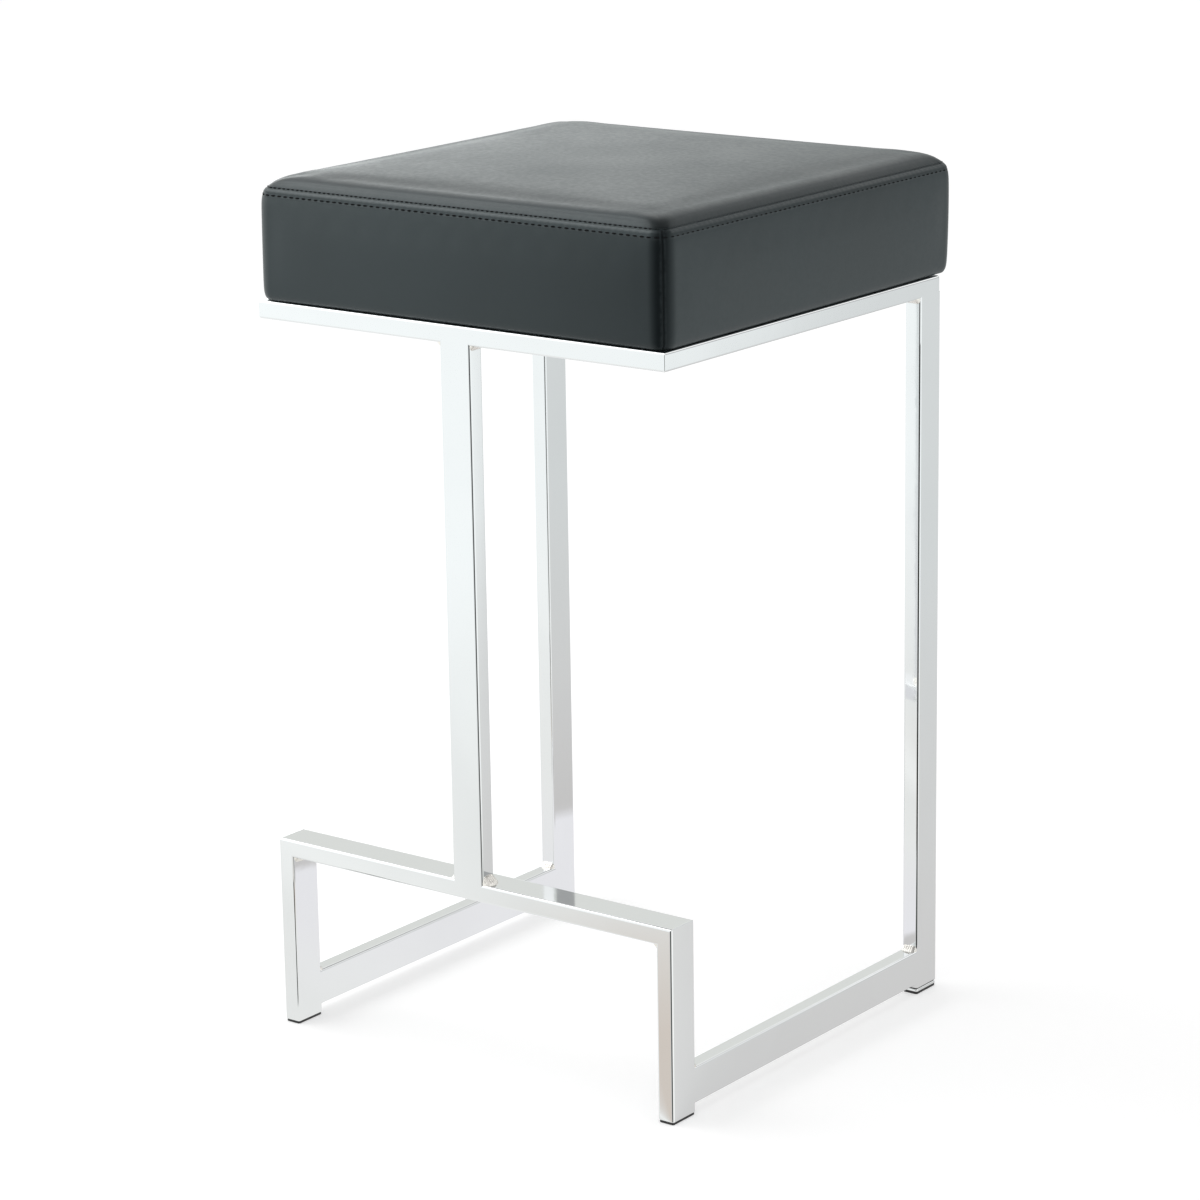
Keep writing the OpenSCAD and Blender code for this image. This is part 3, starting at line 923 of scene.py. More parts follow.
@dataclass
class Feet(Group):
    """End plates and glides under the four legs."""

    frame: TubeFrame
    plate_t: float = 3.0
    plate_edge: float = 1.0
    plate_top_r: float = 0.02
    rear_plate_inset: float = 0.2
    rear_plate_top_r: float = 1.9
    glide_t: float = 2.0
    glide_margin: float = 0.5
    glide_edge: float = 0.6
    glide_top_r: float = 0.1
    least_r: float = 0.4

    def block(self, margin: float, centre: tuple, heights: tuple, edges: tuple) -> MeshParts:
        """A flat block with round corners and rounded edges under a leg.

        Args:
            margin: how far it stays inside the tube's outline.
            centre: its middle, seen from above.
            heights: heights of its underside and top.
            edges: radii of its lower and upper edges.

        Returns:
            The mesh parts.
        """
        levels = []
        for edge, base, up in zip(edges, heights, (1, -1)):
            arc = [(edge * (1 - math.sin(a)), base + up * edge * (1 - math.cos(a)))
                   for a in np.radians(np.linspace(0, 90, 5))]
            levels.extend(arc[::up])
        width, depth = self.frame.thin - 2 * margin, self.frame.wide - 2 * margin
        stations = []
        for inset, height in levels:
            section = rounded_section(width - 2 * inset, depth - 2 * inset,
                                      max(self.frame.corner_r - inset, self.least_r))
            shift = (centre[0] - width / 2 + inset, centre[1] - depth / 2 + inset)
            stations.append(at_height(section + shift, height))
        return sleeve(stations)

    def build(self) -> None:
        """Makes the plates and glides."""
        frame, plate_top = self.frame, self.glide_t + self.plate_t
        ends = (("front", frame.front_y + frame.wide / 2, 0.0, self.plate_top_r),
                ("rear", frame.rear_y - frame.wide / 2, self.rear_plate_inset, self.rear_plate_top_r))
        for side, name in SIDES:
            for end, y, inset, top_r in ends:
                centre = (side * (frame.half_w - frame.thin / 2), y)
                plate = self.block(inset, centre, (self.glide_t, plate_top), (self.plate_edge, top_r))
                obj = plate.build(f"{name}_{end}_plate", self.palette.chrome)
                weigh_normals(obj)
                place_piece(obj, Slot.CHROME, f"{name}_{end}_end_plate")
                pad = self.block(self.glide_margin, centre, (0.0, self.glide_t),
                                 (self.glide_edge, self.glide_top_r))
                place_piece(pad.build(f"{name}_{end}_pad", self.palette.glide), Slot.GLIDE,
                            f"{name}_{end}_glide")


# Geometry Nodes

class NodeRig(NodeTree):
    """A Geometry Nodes tree with named inputs."""

    def __init__(self, name: str, inputs: dict) -> None:
        """Starts a tree with its inputs and its geometry output.

        Args:
            name: the tree's name.
            inputs: types of the named inputs, such as Float.
        """
        super().__init__(bpy.data.node_groups.new(name, "GeometryNodeTree"))
        self.sockets: dict[str, str] = {}
        interface = self.tree.interface
        interface.new_socket("Geometry", in_out="OUTPUT", socket_type="NodeSocketGeometry")
        for key, kind in {"Geometry": "Geometry", **inputs}.items():
            socket = interface.new_socket(key, in_out="INPUT", socket_type=f"NodeSocket{kind}")
            self.sockets[key] = socket.identifier
        self.group_in = self.tree.nodes.new("NodeGroupInput")
        self.group_out = self.tree.nodes.new("NodeGroupOutput")

    def read(self, name: str) -> Socket:
        """The group input's socket of that name."""
        return self.group_in.outputs[name]

    def close(self, instances: Socket) -> None:
        """Ends the tree: instances are made real and dressed."""
        real = self.out("GeometryNodeRealizeInstances", {"Geometry": instances})
        dressed = self.out("GeometryNodeSetMaterial", {"Geometry": real, "Material": self.read("Finish")})
        self.tree.links.new(dressed, self.group_out.inputs["Geometry"])

    def run(self, name: str, source: Piece, values: dict) -> Piece:
        """Runs the tree on an object and keeps the result as a plain mesh.

        Args:
            name: the new piece's name.
            source: the object that holds the places or the path; it is removed.
            values: the inputs by name.

        Returns:
            The new piece.
        """
        modifier = source.modifiers.new("repeat", "NODES")
        modifier.node_group = self.tree
        for key, value in values.items():
            modifier[self.sockets[key]] = value
        depsgraph = bpy.context.evaluated_depsgraph_get()
        mesh = bpy.data.meshes.new_from_object(
            source.evaluated_get(depsgraph), preserve_all_data_layers=True, depsgraph=depsgraph)
        mesh.name = name
        source.modifiers.remove(modifier)
        bpy.data.objects.remove(source)
        return add_object(name, mesh)


def fitting_rig() -> NodeRig:
    """A tree that sets one fitting at each point, turned by the point's own angle.

    Returns:
        The tree.
    """
    rig = NodeRig("fittings_at_places", {"Fitting": "Object", "Wobble": "Float", "Seed": "Int",
                                         "Finish": "Material"})
    fitting = rig.add("GeometryNodeObjectInfo", {"Object": rig.read("Fitting")})
    turn = rig.out("GeometryNodeInputNamedAttribute", {"Name": "turn"}, data_type="FLOAT")
    chance = rig.add("FunctionNodeRandomValue", {"Seed": rig.read("Seed")}, data_type="FLOAT")
    swing = rig.math("MULTIPLY", rig.math("SUBTRACT", chance.outputs[1], 0.5), rig.read("Wobble"))
    euler = rig.out("ShaderNodeCombineXYZ", {"Z": rig.math("ADD", turn, swing)})
    rig.close(rig.out("GeometryNodeInstanceOnPoints", {
        "Points": rig.read("Geometry"), "Instance": fitting.outputs["Geometry"], "Rotation": euler,
    }))
    return rig


def stitch_rig() -> NodeRig:
    """A tree that lays stitches along a closed line of edges.

    Returns:
        The tree.
    """
    rig = NodeRig("stitches_on_a_line", {
        "Stitches": "Int", "Stitch Length": "Float", "Thread Radius": "Float",
        "Unevenness": "Float", "Seed": "Int", "Finish": "Material",
    })
    curve = rig.out("GeometryNodeMeshToCurve", {"Mesh": rig.read("Geometry")})
    spaced = rig.out("GeometryNodeResampleCurve", {"Curve": curve, "Count": rig.read("Stitches")},
                     mode="COUNT")
    tangent = rig.out("GeometryNodeInputTangent", {})
    turned = rig.out("FunctionNodeAlignRotationToVector", {"Vector": tangent}, axis="Z")
    ball = rig.out("GeometryNodeMeshUVSphere", {"Segments": 8, "Rings": 6, "Radius": 1.0})
    radius = rig.read("Thread Radius")
    half = rig.math("MULTIPLY", rig.read("Stitch Length"), 0.5)
    size = rig.out("ShaderNodeCombineXYZ", {"X": radius, "Y": radius, "Z": half})
    stitch = rig.out("GeometryNodeTransform", {"Geometry": ball, "Scale": size})
    uneven = rig.read("Unevenness")
    scale = rig.out("FunctionNodeRandomValue", {
        0: rig.math("SUBTRACT", 1.0, uneven), 1: rig.math("ADD", 1.0, uneven), "Seed": rig.read("Seed"),
    }, data_type="FLOAT_VECTOR")
    smooth = rig.out("GeometryNodeSetShadeSmooth", {"Geometry": stitch})
    rig.close(rig.out("GeometryNodeInstanceOnPoints", {
        "Points": spaced, "Instance": smooth, "Rotation": turned, "Scale": scale,
    }))
    return rig


def point_object(name: str, points: Points, turns: list | None = None) -> Piece:
    """An object of loose points with an angle each, or of one closed line of edges.

    Args:
        name: its name.
        points: places in millimetres.
        turns: an angle for each point; without angles, edges join the points round.

    Returns:
        The object.
    """
    mesh = bpy.data.meshes.new(name)
    count = len(points)
    edges = [(i, (i + 1) % count) for i in range(count)] if turns is None else []
    mesh.from_pydata(np.asarray(points) * MM, edges, [])
    if turns is not None:
        mesh.attributes.new("turn", "FLOAT", "POINT").data.foreach_set("value", turns)
    return add_object(name, mesh)


# Seat

@dataclass
class SeatForm:
    """The cushion's form, as functions of height and of the way round."""

    half: float = 201.0
    corner_r: float = 15.0
    hem_z: float = 611.6
    seam_z: float = 700.6
    side_bulge: float = 0.5
    bottom_draw: float = 3.0
    bottom_power: float = 30.0
    seam_draw: float = 4.2
    seam_power: float = 22.0
    seam_inset: float = 4.9
    shoulder_w: float = 22.5
    shoulder_rise: float = 22.5
    shoulder_start: float = 34.0
    crown_rise: float = 3.3
    crown_slope: float = 0.07
    corner_growth: float = 0.3
    leans: tuple = ((0, -1.5), (2, 0.8))
    lean_reach: float = 55.0
    hem_inner: tuple = (155.0, -155.0, 135.0)
    arc_steps: int = 24
    arc_power: float = 1.6
    side_steps: int = 296

    @property
    def quarter(self) -> int:
        """Number of columns on one side with its corner."""
        return self.arc_steps + self.side_steps

    @property
    def columns(self) -> int:
        """Number of columns round the seat."""
        return 4 * self.quarter

    @property
    def shoulder_end(self) -> float:
        """Angle at which the shoulder has the crown's slope, in degrees."""
        return math.degrees(math.atan(self.shoulder_rise / (self.shoulder_w * self.crown_slope)))

    def side_share(self, height: Points | float) -> Points | float:
        """How far up the side a height is: 0 at the hem, 1 at the seam."""
        return (height - self.hem_z) / (self.seam_z - self.hem_z)

    def ring(self, half_x: float, half_y: float, radius: float, centre_y: float = 0.0) -> Points:
        """Points of one rounded square, anticlockwise from the right end of the rear right corner.

        Args:
            half_x: half width.
            half_y: half depth.
            radius: corner radius.
            centre_y: middle on Y.

        Returns:
            One row of X and Y for each column.
        """
        arcs = []
        spread = np.linspace(-1, 1, self.arc_steps + 1)
        spread = np.sign(spread) * np.abs(spread) ** self.arc_power
        for corner, (sign_x, sign_y) in enumerate(((1, 1), (-1, 1), (-1, -1), (1, -1))):
            angles = np.radians(90 * corner + 45 + 45 * spread)
            arcs.append(np.column_stack([
                sign_x * (half_x - radius) + radius * np.cos(angles),
                centre_y + sign_y * (half_y - radius) + radius * np.sin(angles),
            ]))
        shares = np.linspace(0, 1, self.side_steps + 1)[1:-1, None]
        points = []
        for corner in range(4):
            start, finish = arcs[corner][-1], arcs[(corner + 1) % 4][0]
            points.extend([arcs[corner], start + (finish - start) * shares])
        return np.vstack(points)

    def side_inset(self, height: Points | float) -> Points | float:
        """Inset of the side from the widest outline, at a height."""
        share = self.side_share(height)
        return (self.side_bulge * (2 * share - 1) ** 2
                + self.bottom_draw * np.maximum(1 - share, 0) ** self.bottom_power
                + self.seam_draw * np.maximum(share, 0) ** self.seam_power)

    def inset_ring(self, inset: float, height: float) -> Points:
        """A ring of the side, by its inset from the widest outline and its height."""
        radius = max(self.corner_r - inset, 1.0)
        return at_height(self.ring(self.half - inset, self.half - inset, radius), height)

    def side_ring(self, height: float, inset: float = 0.0) -> Points:
        """A ring of the side at a height, drawn in a little further."""
        return self.inset_ring(self.side_inset(height) + inset, height)

    def lean(self, ring: Points) -> Points:
        """A ring with the rear right corner drawn in and the front left one pushed out near the hem.

        Args:
            ring: points of a ring of the side.

        Returns:
            The moved points.
        """
        moved = ring.copy()
        fade = (1 - np.clip(self.side_share(ring[:, 2]), 0, 1)) ** 2
        for corner, amount in self.leans:
            turn = math.radians(45 + 90 * corner)
            way = np.array([math.cos(turn), math.sin(turn)])
            gap = np.linalg.norm(ring[:, :2] - way * self.half * math.sqrt(2), axis=1)
            moved[:, :2] += way * (amount * fade * hill(gap, self.lean_reach))[:, None]
        return moved

    def shoulder_ring(self, angle: float, drop: float = 0.0) -> Points:
        """A ring of the rounded shoulder.

        Args:
            angle: from the shoulder's start at the seam up to 90, in degrees.
            drop: depth in along the way to the middle.

        Returns:
            Points in space.
        """
        start, angle = math.radians(self.shoulder_start), math.radians(angle)
        along = self.shoulder_w * (math.cos(start) - math.cos(angle))
        inset = self.seam_inset + along + drop
        radius = self.corner_r - self.seam_inset + self.corner_growth * along
        height = self.seam_z + self.shoulder_rise * (math.sin(angle) - math.sin(start)) - drop
        return at_height(self.ring(self.half - inset, self.half - inset, radius), height)

    def crown_rings(self, shares: Points) -> list:
        """Rings of the crown.

        Args:
            shares: sizes as shares of the shoulder's inner ring, falling from 1.

        Returns:
            One array of points for each share.
        """
        edge = self.shoulder_ring(self.shoulder_end)
        half = edge[:, 0].max()

        def swell(plane: Points) -> Points:
            """Height share of the crown."""
            return (1 - (plane[:, 0] / half) ** 2) * (1 - (plane[:, 1] / half) ** 2)

        rim = swell(edge[:, :2])
        rings = []
        for share in shares:
            plane = edge[:, :2] * share
            rise = self.crown_rise * (swell(plane) - rim * share ** 2)
            rings.append(np.column_stack([plane, edge[:, 2] + rise]))
        return rings


def cubic_sample(values: Points, at_row: Points, at_column: Points) -> Points:
    """Smooth reading of a grid of values between its points.

    Args:
        values: the grid.
        at_row: row positions, as fractional indexes.
        at_column: column positions, as fractional indexes.

    Returns:
        One value for each position.
    """
    rows, columns = values.shape
    row = np.clip(np.floor(at_row).astype(int), 0, rows - 2)
    column = np.clip(np.floor(at_column).astype(int), 0, columns - 2)

    def weights(t: Points) -> list:
        """Weights of the four neighbours."""
        return [(-t ** 3 + 2 * t ** 2 - t) / 2, (3 * t ** 3 - 5 * t ** 2 + 2) / 2,
                (-3 * t ** 3 + 4 * t ** 2 + t) / 2, (t ** 3 - t ** 2) / 2]

    row_weights = weights(np.clip(at_row - row, 0, 1))
    column_weights = weights(np.clip(at_column - column, 0, 1))
    total = np.zeros(len(at_row))
    for i, row_weight in enumerate(row_weights, -1):
        for j, column_weight in enumerate(column_weights, -1):
            near = values[np.clip(row + i, 0, rows - 1), np.clip(column + j, 0, columns - 1)]
            total += row_weight * column_weight * near
    return total


@dataclass
class PressureFit:
    """How the stuffed cover swells between its seams, from a cloth simulation."""

    form: SeatForm
    voxel: float = 6.0
    pressure: float = 4.0
    frames: int = 20
    seam_hold: float = 7.0
    foot_hold: float = 10.0
    top_cap: float = 1.6
    side_cap: float = 0.9
    grid: int = 41
    side_rows: int = 9
    neighbours: int = 8
    every: int = 8
    cloth_mass: float = 0.3
    stretch_stiffness: float = 30.0
    shear_stiffness: float = 15.0
    bending_stiffness: float = 4.0

    def __post_init__(self) -> None:
        """Starts with no swelling."""
        self.top = np.zeros((self.grid, self.grid))
        self.sides = {side: np.zeros((self.side_rows, self.grid)) for side in Side}

    def closed_form(self) -> Piece:
        """A plain closed copy of the cushion, remeshed evenly.

        Returns:
            The object that is simulated.
        """
        form = self.form
        rings = [form.side_ring(z) for z in np.linspace(form.hem_z + 1, form.seam_z - 1, 14)]
        rings += [form.shoulder_ring(a) for a in np.linspace(form.shoulder_start, form.shoulder_end, 6)]
        rings += form.crown_rings(np.linspace(0.95, 0.08, 18))
        parts = sleeve([ring[::self.every] for ring in rings])
        source = parts.build("swell_source", bpy.data.materials.new("swell_plain"))
        remesh = source.modifiers.new("even", "REMESH")
        remesh.mode = "VOXEL"
        remesh.voxel_size = self.voxel * MM
        depsgraph = bpy.context.evaluated_depsgraph_get()
        mesh = bpy.data.meshes.new_from_object(source.evaluated_get(depsgraph))
        bpy.data.objects.remove(source)
        return add_object("swell_form", mesh)

    def sewn(self, rest: Points) -> list:
        """Points of the closed form that its seams and its board hold.

        Args:
            rest: all its points.

        Returns:
            Their indexes.
        """
        form = self.form
        across = np.abs(rest[:, :2])
        near_seam = np.abs(rest[:, 2] - form.seam_z) < self.seam_hold
        held = near_seam & (across.max(axis=1) > form.half - 2.5 * self.seam_hold)
        held |= rest[:, 2] < form.hem_z + self.foot_hold
        held |= (across.min(axis=1) > form.half - form.corner_r) & (rest[:, 2] < form.seam_z)
        return [int(i) for i in np.nonzero(held)[0]]

    def simulate(self) -> None:
        """Runs the cloth and keeps the capped swelling of the top and the sides."""
        obj = self.closed_form()
        rest = np.array([v.co for v in obj.data.vertices]) / MM
        group = obj.vertex_groups.new(name="sewn")
        group.add(self.sewn(rest), 1.0, "REPLACE")
        cloth = obj.modifiers.new("cloth", "CLOTH")
        settings = cloth.settings
        settings.vertex_group_mass = group.name
        settings.use_pressure = True
        settings.uniform_pressure_force = self.pressure
        settings.mass = self.cloth_mass
        settings.tension_stiffness = settings.compression_stiffness = self.stretch_stiffness
        settings.shear_stiffness = self.shear_stiffness
        settings.bending_stiffness = self.bending_stiffness
        settings.effector_weights.gravity = 0
        cloth.point_cache.frame_start = 1
        cloth.point_cache.frame_end = self.frames
        scene = bpy.context.scene
        for frame in range(1, self.frames + 1):
            scene.frame_set(frame)
        depsgraph = bpy.context.evaluated_depsgraph_get()
        swollen = np.array([v.co for v in obj.evaluated_get(depsgraph).data.vertices]) / MM
        scene.frame_set(1)
        obj.modifiers.remove(cloth)
        moves = swollen - rest
        log.info("cloth: largest move %.2f mm on %d points", np.abs(moves).max(), len(rest))
        self.keep(rest, moves)
        bpy.data.objects.remove(obj)

    def keep(self, rest: Points, moves: Points) -> None:
        """Reads the swelling on even grids.

        Args:
            rest: points before.
            moves: how far each point went.
        """
        tree = KDTree(len(rest))
        for i, point in enumerate(rest):
            tree.insert(point, i)
        tree.balance()

        def reading(point: tuple, axis: int, sign: int) -> float:
            """Mean move near a point, along one axis."""
            found = tree.find_n(point, self.neighbours)
            shares = [1 / (distance + self.voxel) for _, _, distance in found]
            total = sum(share * moves[i, axis] for (_, i, _), share in zip(found, shares))
            return sign * total / sum(shares)

        form = self.form
        span = np.linspace(-form.half, form.half, self.grid)
        top_z = form.seam_z + form.shoulder_rise + form.crown_rise
        self.top[:] = [[reading((x, y, top_z), 2, 1) for x in span] for y in span]
        self.top = self.top_cap * np.tanh(self.top / self.top_cap)
        heights = np.linspace(form.hem_z, form.seam_z, self.side_rows)
        for side, values in self.sides.items():
            axis, sign = side.facing
            for row, z in enumerate(heights):
                for column, along in enumerate(span):
                    point = [along, along, z]
                    point[axis] = sign * form.half
                    values[row, column] = reading(tuple(point), axis, sign)
            values[:] = self.side_cap * np.tanh(values / self.side_cap)

    def swell(self, points: Points, upper: bool) -> Points:
        """Points of the cover moved by the swelling.

        Args:
            points: points on the cover.
            upper: whether they are on the top panel.

        Returns:
            The moved points.
        """
        form, moved = self.form, points.copy()
        at = (points[:, :2] + form.half) * (self.grid - 1) / (2 * form.half)
        if upper:
            reach = np.abs(points[:, :2]).max(axis=1)
            fade = np.clip((form.half - form.seam_inset - reach) / form.shoulder_w, 0, 1)
            moved[:, 2] += cubic_sample(self.top, at[:, 1], at[:, 0]) * fade * fade * (3 - 2 * fade)
            return moved
        at_z = form.side_share(points[:, 2]) * (self.side_rows - 1)
        for side, values in self.sides.items():
            axis, sign = side.facing
            depth = form.half - sign * points[:, axis]
            share = np.clip(1 - depth / form.corner_r, 0, 1)
            moved[:, axis] += sign * share * cubic_sample(values, at_z, at[:, 1 - axis])
        return moved


@dataclass(frozen=True)
class StitchRow:
    """One row of stitches, with its place and its thread."""

    name: str
    place: float
    stitches: int
    length: float
    radius: float
    seed: int
    unevenness: float = 0.07

    def phase(self, ring: Points) -> Points:
        """Turn of the thread at each point of the row, in radians."""
        way, total = way_round(ring)
        return 2 * math.pi * self.stitches * way / total

    def sew(self, line: Points, thread: Material) -> None:
        """Lays the stitches along the row's points."""
        obj = stitch_rig().run(self.name, point_object(f"{self.name}_line", line), {
            "Stitches": self.stitches, "Stitch Length": self.length * MM, "Thread Radius": self.radius * MM,
            "Unevenness": self.unevenness, "Seed": self.seed, "Finish": thread,
        })
        place_piece(obj, Slot.COVER)


def way_round(ring: Points) -> tuple:
    """Way from the first point of a ring to each point, and the whole way round."""
    steps = np.linalg.norm(np.roll(ring, -1, axis=0) - ring, axis=1)
    return np.concatenate([[0], np.cumsum(steps)])[:-1], steps.sum()


def ring_normals(rings: list) -> Points:
    """Unit normals of a stack of rings.

    Args:
        rings: arrays of points, from the lowest or outermost up or in.

    Returns:
        Normals as an array of rows, columns and three numbers.
    """
    stack = np.array(rings)
    around = np.roll(stack, -1, axis=1) - np.roll(stack, 1, axis=1)
    normals = np.cross(around, np.gradient(stack, axis=0))
    return normals / np.maximum(np.linalg.norm(normals, axis=2, keepdims=True), 1e-9)


@dataclass
class Seat(Group):
    """The sewn seat: cover panels, stitches and foam."""

    form: SeatForm = field(default_factory=SeatForm)
    upper_row: StitchRow = StitchRow("upper_stitches", 36.7, 332, 3.5, 0.72, 7)
    lower_row: StitchRow = StitchRow("lower_stitches", 695.7, 248, 4.3, 0.8, 11)
    cover_t: float = 1.1
    hem_shares: tuple = (0, 0.35, 0.7, 0.9, 1)
    hem_margin: float = 0.6
    hem_turn: tuple = ((0.05, 0.2), (0.25, 0.02), (0.6, 0), (1.1, 0))
    low_rises: tuple = (1.9, 2.9, 4.2, 6, 8.4, 11.4)
    band_tuck: tuple = ((0.28, 0.34), (0.6, 0.62), (1.0, 0.8), (1.5, 0.88), (2.2, 0.95),
                        (3.4, 1.5), (4.6, 2.1))
    top_tuck: tuple = ((2.6, -0.3), (1.2, 0.02), (0.4, 0.1), (0.06, 0.06))
    strip_puff: float = 0.36
    strip_peak: float = 1.7
    groove: float = 0.35
    groove_w: float = 0.9
    upper_groove: float = 0.7
    upper_groove_w: float = 0.7
    corner_groove: float = 0.5
    corner_groove_w: float = 0.5
    # Painted shade on the cover: its widths, its strength at the other corners, and its amounts on the right
    # side, the front and the top's edges.
    seam_shade_w: float = 7.5
    seam_shade_top_w: float = 13.0
    other_corner_shade: float = 0.45
    shade_at: float = 5.0
    shade_w: float = 10.0
    shade: float = 0.5
    strip_shade: float = 0.3
    front_shade: float = 0.33
    edge_shade: float = 0.13
    edge_reach: float = 72.0
    upper_sink: float = 0.2
    lower_sink: float = 0.3
    right_sink: float = 0.4
    side_fade: float = 14.0
    ridge: float = 0.06
    ridge_at: float = 1.2
    ridge_w: float = 0.5
    valley: float = 0.2
    valley_at: float = 8.8
    valley_skew: float = 1.2
    valley_w: float = 1.7
    valley_dip: float = 0.5
    valley_dip_w: float = 18.0
    valley_fade: float = 130.0
    ripple: float = 0.04
    belly: float = 1.5
    belly_inset: float = 0.2
    foam_gap: float = 0.4
    board_t: float = 15.0

    def __post_init__(self) -> None:
        """Prepares the swelling and measures each column's way from the nearest corner seam."""
        form = self.form
        self.fit = PressureFit(form)
        way, total = way_round(form.ring(form.half - 1, form.half - 1, form.corner_r - 1))
        seams = way[form.arc_steps // 2::form.quarter]
        gaps = (way - seams[:, None] + total / 2) % total - total / 2
        self.distance = gaps[np.argmin(np.abs(gaps), axis=0), np.arange(len(way))]

    def build(self) -> None:
        """Makes the whole seat."""
        self.fit.simulate()
        self.bands()
        self.top_panel()
        self.foam()

    def band_rows(self) -> tuple:
        """Rings of the bands, from the hem's inner edge to the tuck under the top panel.

        Returns:
            The rings, their heights on the face and the index of the first face row.
        """
        form, row_z = self.form, self.lower_row.place
        inner_x, low_y, high_y = form.hem_inner
        inner = form.ring(inner_x, (high_y - low_y) / 2, 2.0, (high_y + low_y) / 2)
        inner = at_height(inner, form.hem_z)
        turn = form.side_ring(form.hem_z, self.hem_margin)
        rings = [inner + (turn - inner) * share for share in self.hem_shares]
        rings += [form.side_ring(form.hem_z + rise, inset) for rise, inset in self.hem_turn]
        first_face = len(rings)
        heights = np.concatenate([
            form.hem_z + np.array(self.low_rises), np.linspace(form.hem_z + 15, 688, 15),
            np.arange(689.2, 692.1, 0.7), np.linspace(692.4, form.seam_z - 0.9, 20),
        ])
        strip = np.clip((heights - row_z) / (form.seam_z - 0.4 - row_z), 0, 1)
        puff = self.strip_puff * np.sin(math.pi * strip ** self.strip_peak) ** 0.8
        insets = form.side_inset(heights) - puff
        rings += [form.inset_ring(inset, z) for inset, z in zip(insets, heights)]
        rings += [form.inset_ring(insets[-1] + inset, heights[-1] + rise) for inset, rise in self.band_tuck]
        return rings, heights, first_face

    def bands(self) -> None:
        """Makes the four side bands of the cover, with their seams and lower stitch row."""
        form, distance, row_z = self.form, self.distance, self.lower_row.place
        rings, heights, first_face = self.band_rows()
        row = first_face + int(np.argmin(np.abs(heights - row_z)))
        thread = np.cos(self.lower_row.phase(rings[row]))
        slow_thread = np.cos(self.lower_row.phase(rings[row]) / 3)
        normals = ring_normals(rings)
        corner = self.ridge * hill(distance, self.ridge_w, self.ridge_at)
        corner -= self.corner_groove * hill(distance, self.corner_groove_w)
        middle = 1 - np.clip(1 - np.abs(distance) / form.half, 0, 1) ** 4
        # Painted highlight: a light line just beside each corner seam.
        seam_glint = 0.35 * hill(np.abs(distance), 0.8, 1.6)
        marks = []
        for index, ring in enumerate(rings):
            z, on_face, on_side = ring[0, 2], index >= first_face, index >= first_face - 4
            share = np.clip(form.side_share(z), 0, 1)
            move = np.zeros(len(ring))
            if on_face:
                move -= self.groove * hill(z, self.groove_w, row_z) * (0.7 - 0.3 * thread)
                move += self.ripple * hill(z, 2.2, row_z + 3.2) * thread
                move += 0.5 * self.ripple * hill(z, 3.5, row_z - 4.0) * slow_thread
                move += (self.belly * middle - self.belly_inset) * (4 * share * (1 - share)) ** 0.7
            if on_side:
                move += corner
            rings[index] = self.fit.swell(form.lean(ring + normals[index] * move[:, None]), upper=False)
            # Painted highlight along the band's top edge under the seam, left off on the right side.
            edge = hill(z, 1.0, form.seam_z - 0.8) * on_face * (1 - self.on_right(ring))
            glint = np.clip(edge + seam_glint, 0, 1)
            # Painted shade: darker near the corner seams, most at the front right one, over the right side's
            # strip above the stitch row, and along the front towards its right corner.
            shaded = hill(distance, self.seam_shade_w) * self.corner_shade(ring) * (0.75 + 0.25 * share) * on_side
            if z > row_z:
                shaded += self.strip_shade * self.on_right(ring) * (1 - shaded)
            else:
                shaded += self.front_shade * self.toward_front_right(ring) * (1 - shaded)
            marks.append(np.column_stack([glint, shaded]))
        for side in Side:
            start = form.arc_steps // 2 + side.value * form.quarter
            picked = [(start + k) % form.columns for k in range(form.quarter + 1)]
            points = np.vstack([ring[picked] for ring in rings])
            parts = MeshParts(points, grid_faces(len(rings), len(picked)))
            self.cover(f"{side.name.lower()}_band", parts, np.vstack([row[picked] for row in marks]))
        sunk = self.lower_sink + 0.5 * self.right_sink * self.on_right(rings[row])
        self.lower_row.sew(rings[row] - normals[row] * sunk[:, None], self.palette.thread)

    def on_right(self, ring: Points) -> Points:
        """Share of each point of a ring in the right side, which fades out round the corners."""
        return np.clip((ring[:, 0] - np.abs(ring[:, 1])) / self.side_fade + 1, 0, 1)

    def toward_front_right(self, ring: Points) -> Points:
        """Share that grows along the front side, from its middle to its right corner."""
        front = np.clip((-ring[:, 1] - np.abs(ring[:, 0])) / self.side_fade + 1, 0, 1)
        return front * np.clip(0.3 + 0.7 * ring[:, 0] / self.form.half, 0, 1) ** 1.3

    def corner_shade(self, ring: Points) -> Points:
        """How dark the painted shade at a ring's corners is: the front right one is the darkest."""
        return np.where((ring[:, 0] > 0) & (ring[:, 1] < 0), 1.0, self.other_corner_shade)

    def cover(self, name: str, parts: MeshParts, marks: Points) -> None:
        """Finishes a panel of the cover.

        Args:
            name: the piece's name.
            parts: its outer face.
            marks: painted highlight and painted shade from 0 to 1, one row for each point.
        """
        obj = parts.build(name, self.palette.cover)
        # Stores the painted highlight and the painted shade on the points.
        for layer, column in zip(("wear", "crease"), marks.T):
            values = np.ascontiguousarray(column, dtype=np.float32)
            obj.data.attributes.new(layer, "FLOAT", "POINT").data.foreach_set("value", values)
        solidify(obj, "cover_thickness", self.cover_t)
        place_piece(obj, Slot.COVER, f"cover_{name}")

    def top_rows(self) -> tuple:
        """Rings of the top panel from its tuck to the shoulder's end.

        Returns:
            The rings and the index of the stitch row.
        """
        form, start = self.form, self.form.shoulder_start
        tuck = [form.inset_ring(form.seam_inset + inset, form.seam_z - drop) for inset, drop in self.top_tuck]
        angles = np.concatenate([start + np.arange(0, 12, 0.9), start + np.arange(13, 30, 2.2),
                                 np.linspace(start + 32, form.shoulder_end, 12)])
        row = len(tuck) + int(np.argmin(np.abs(angles - self.upper_row.place)))
        return tuck + [form.shoulder_ring(angle) for angle in angles], row

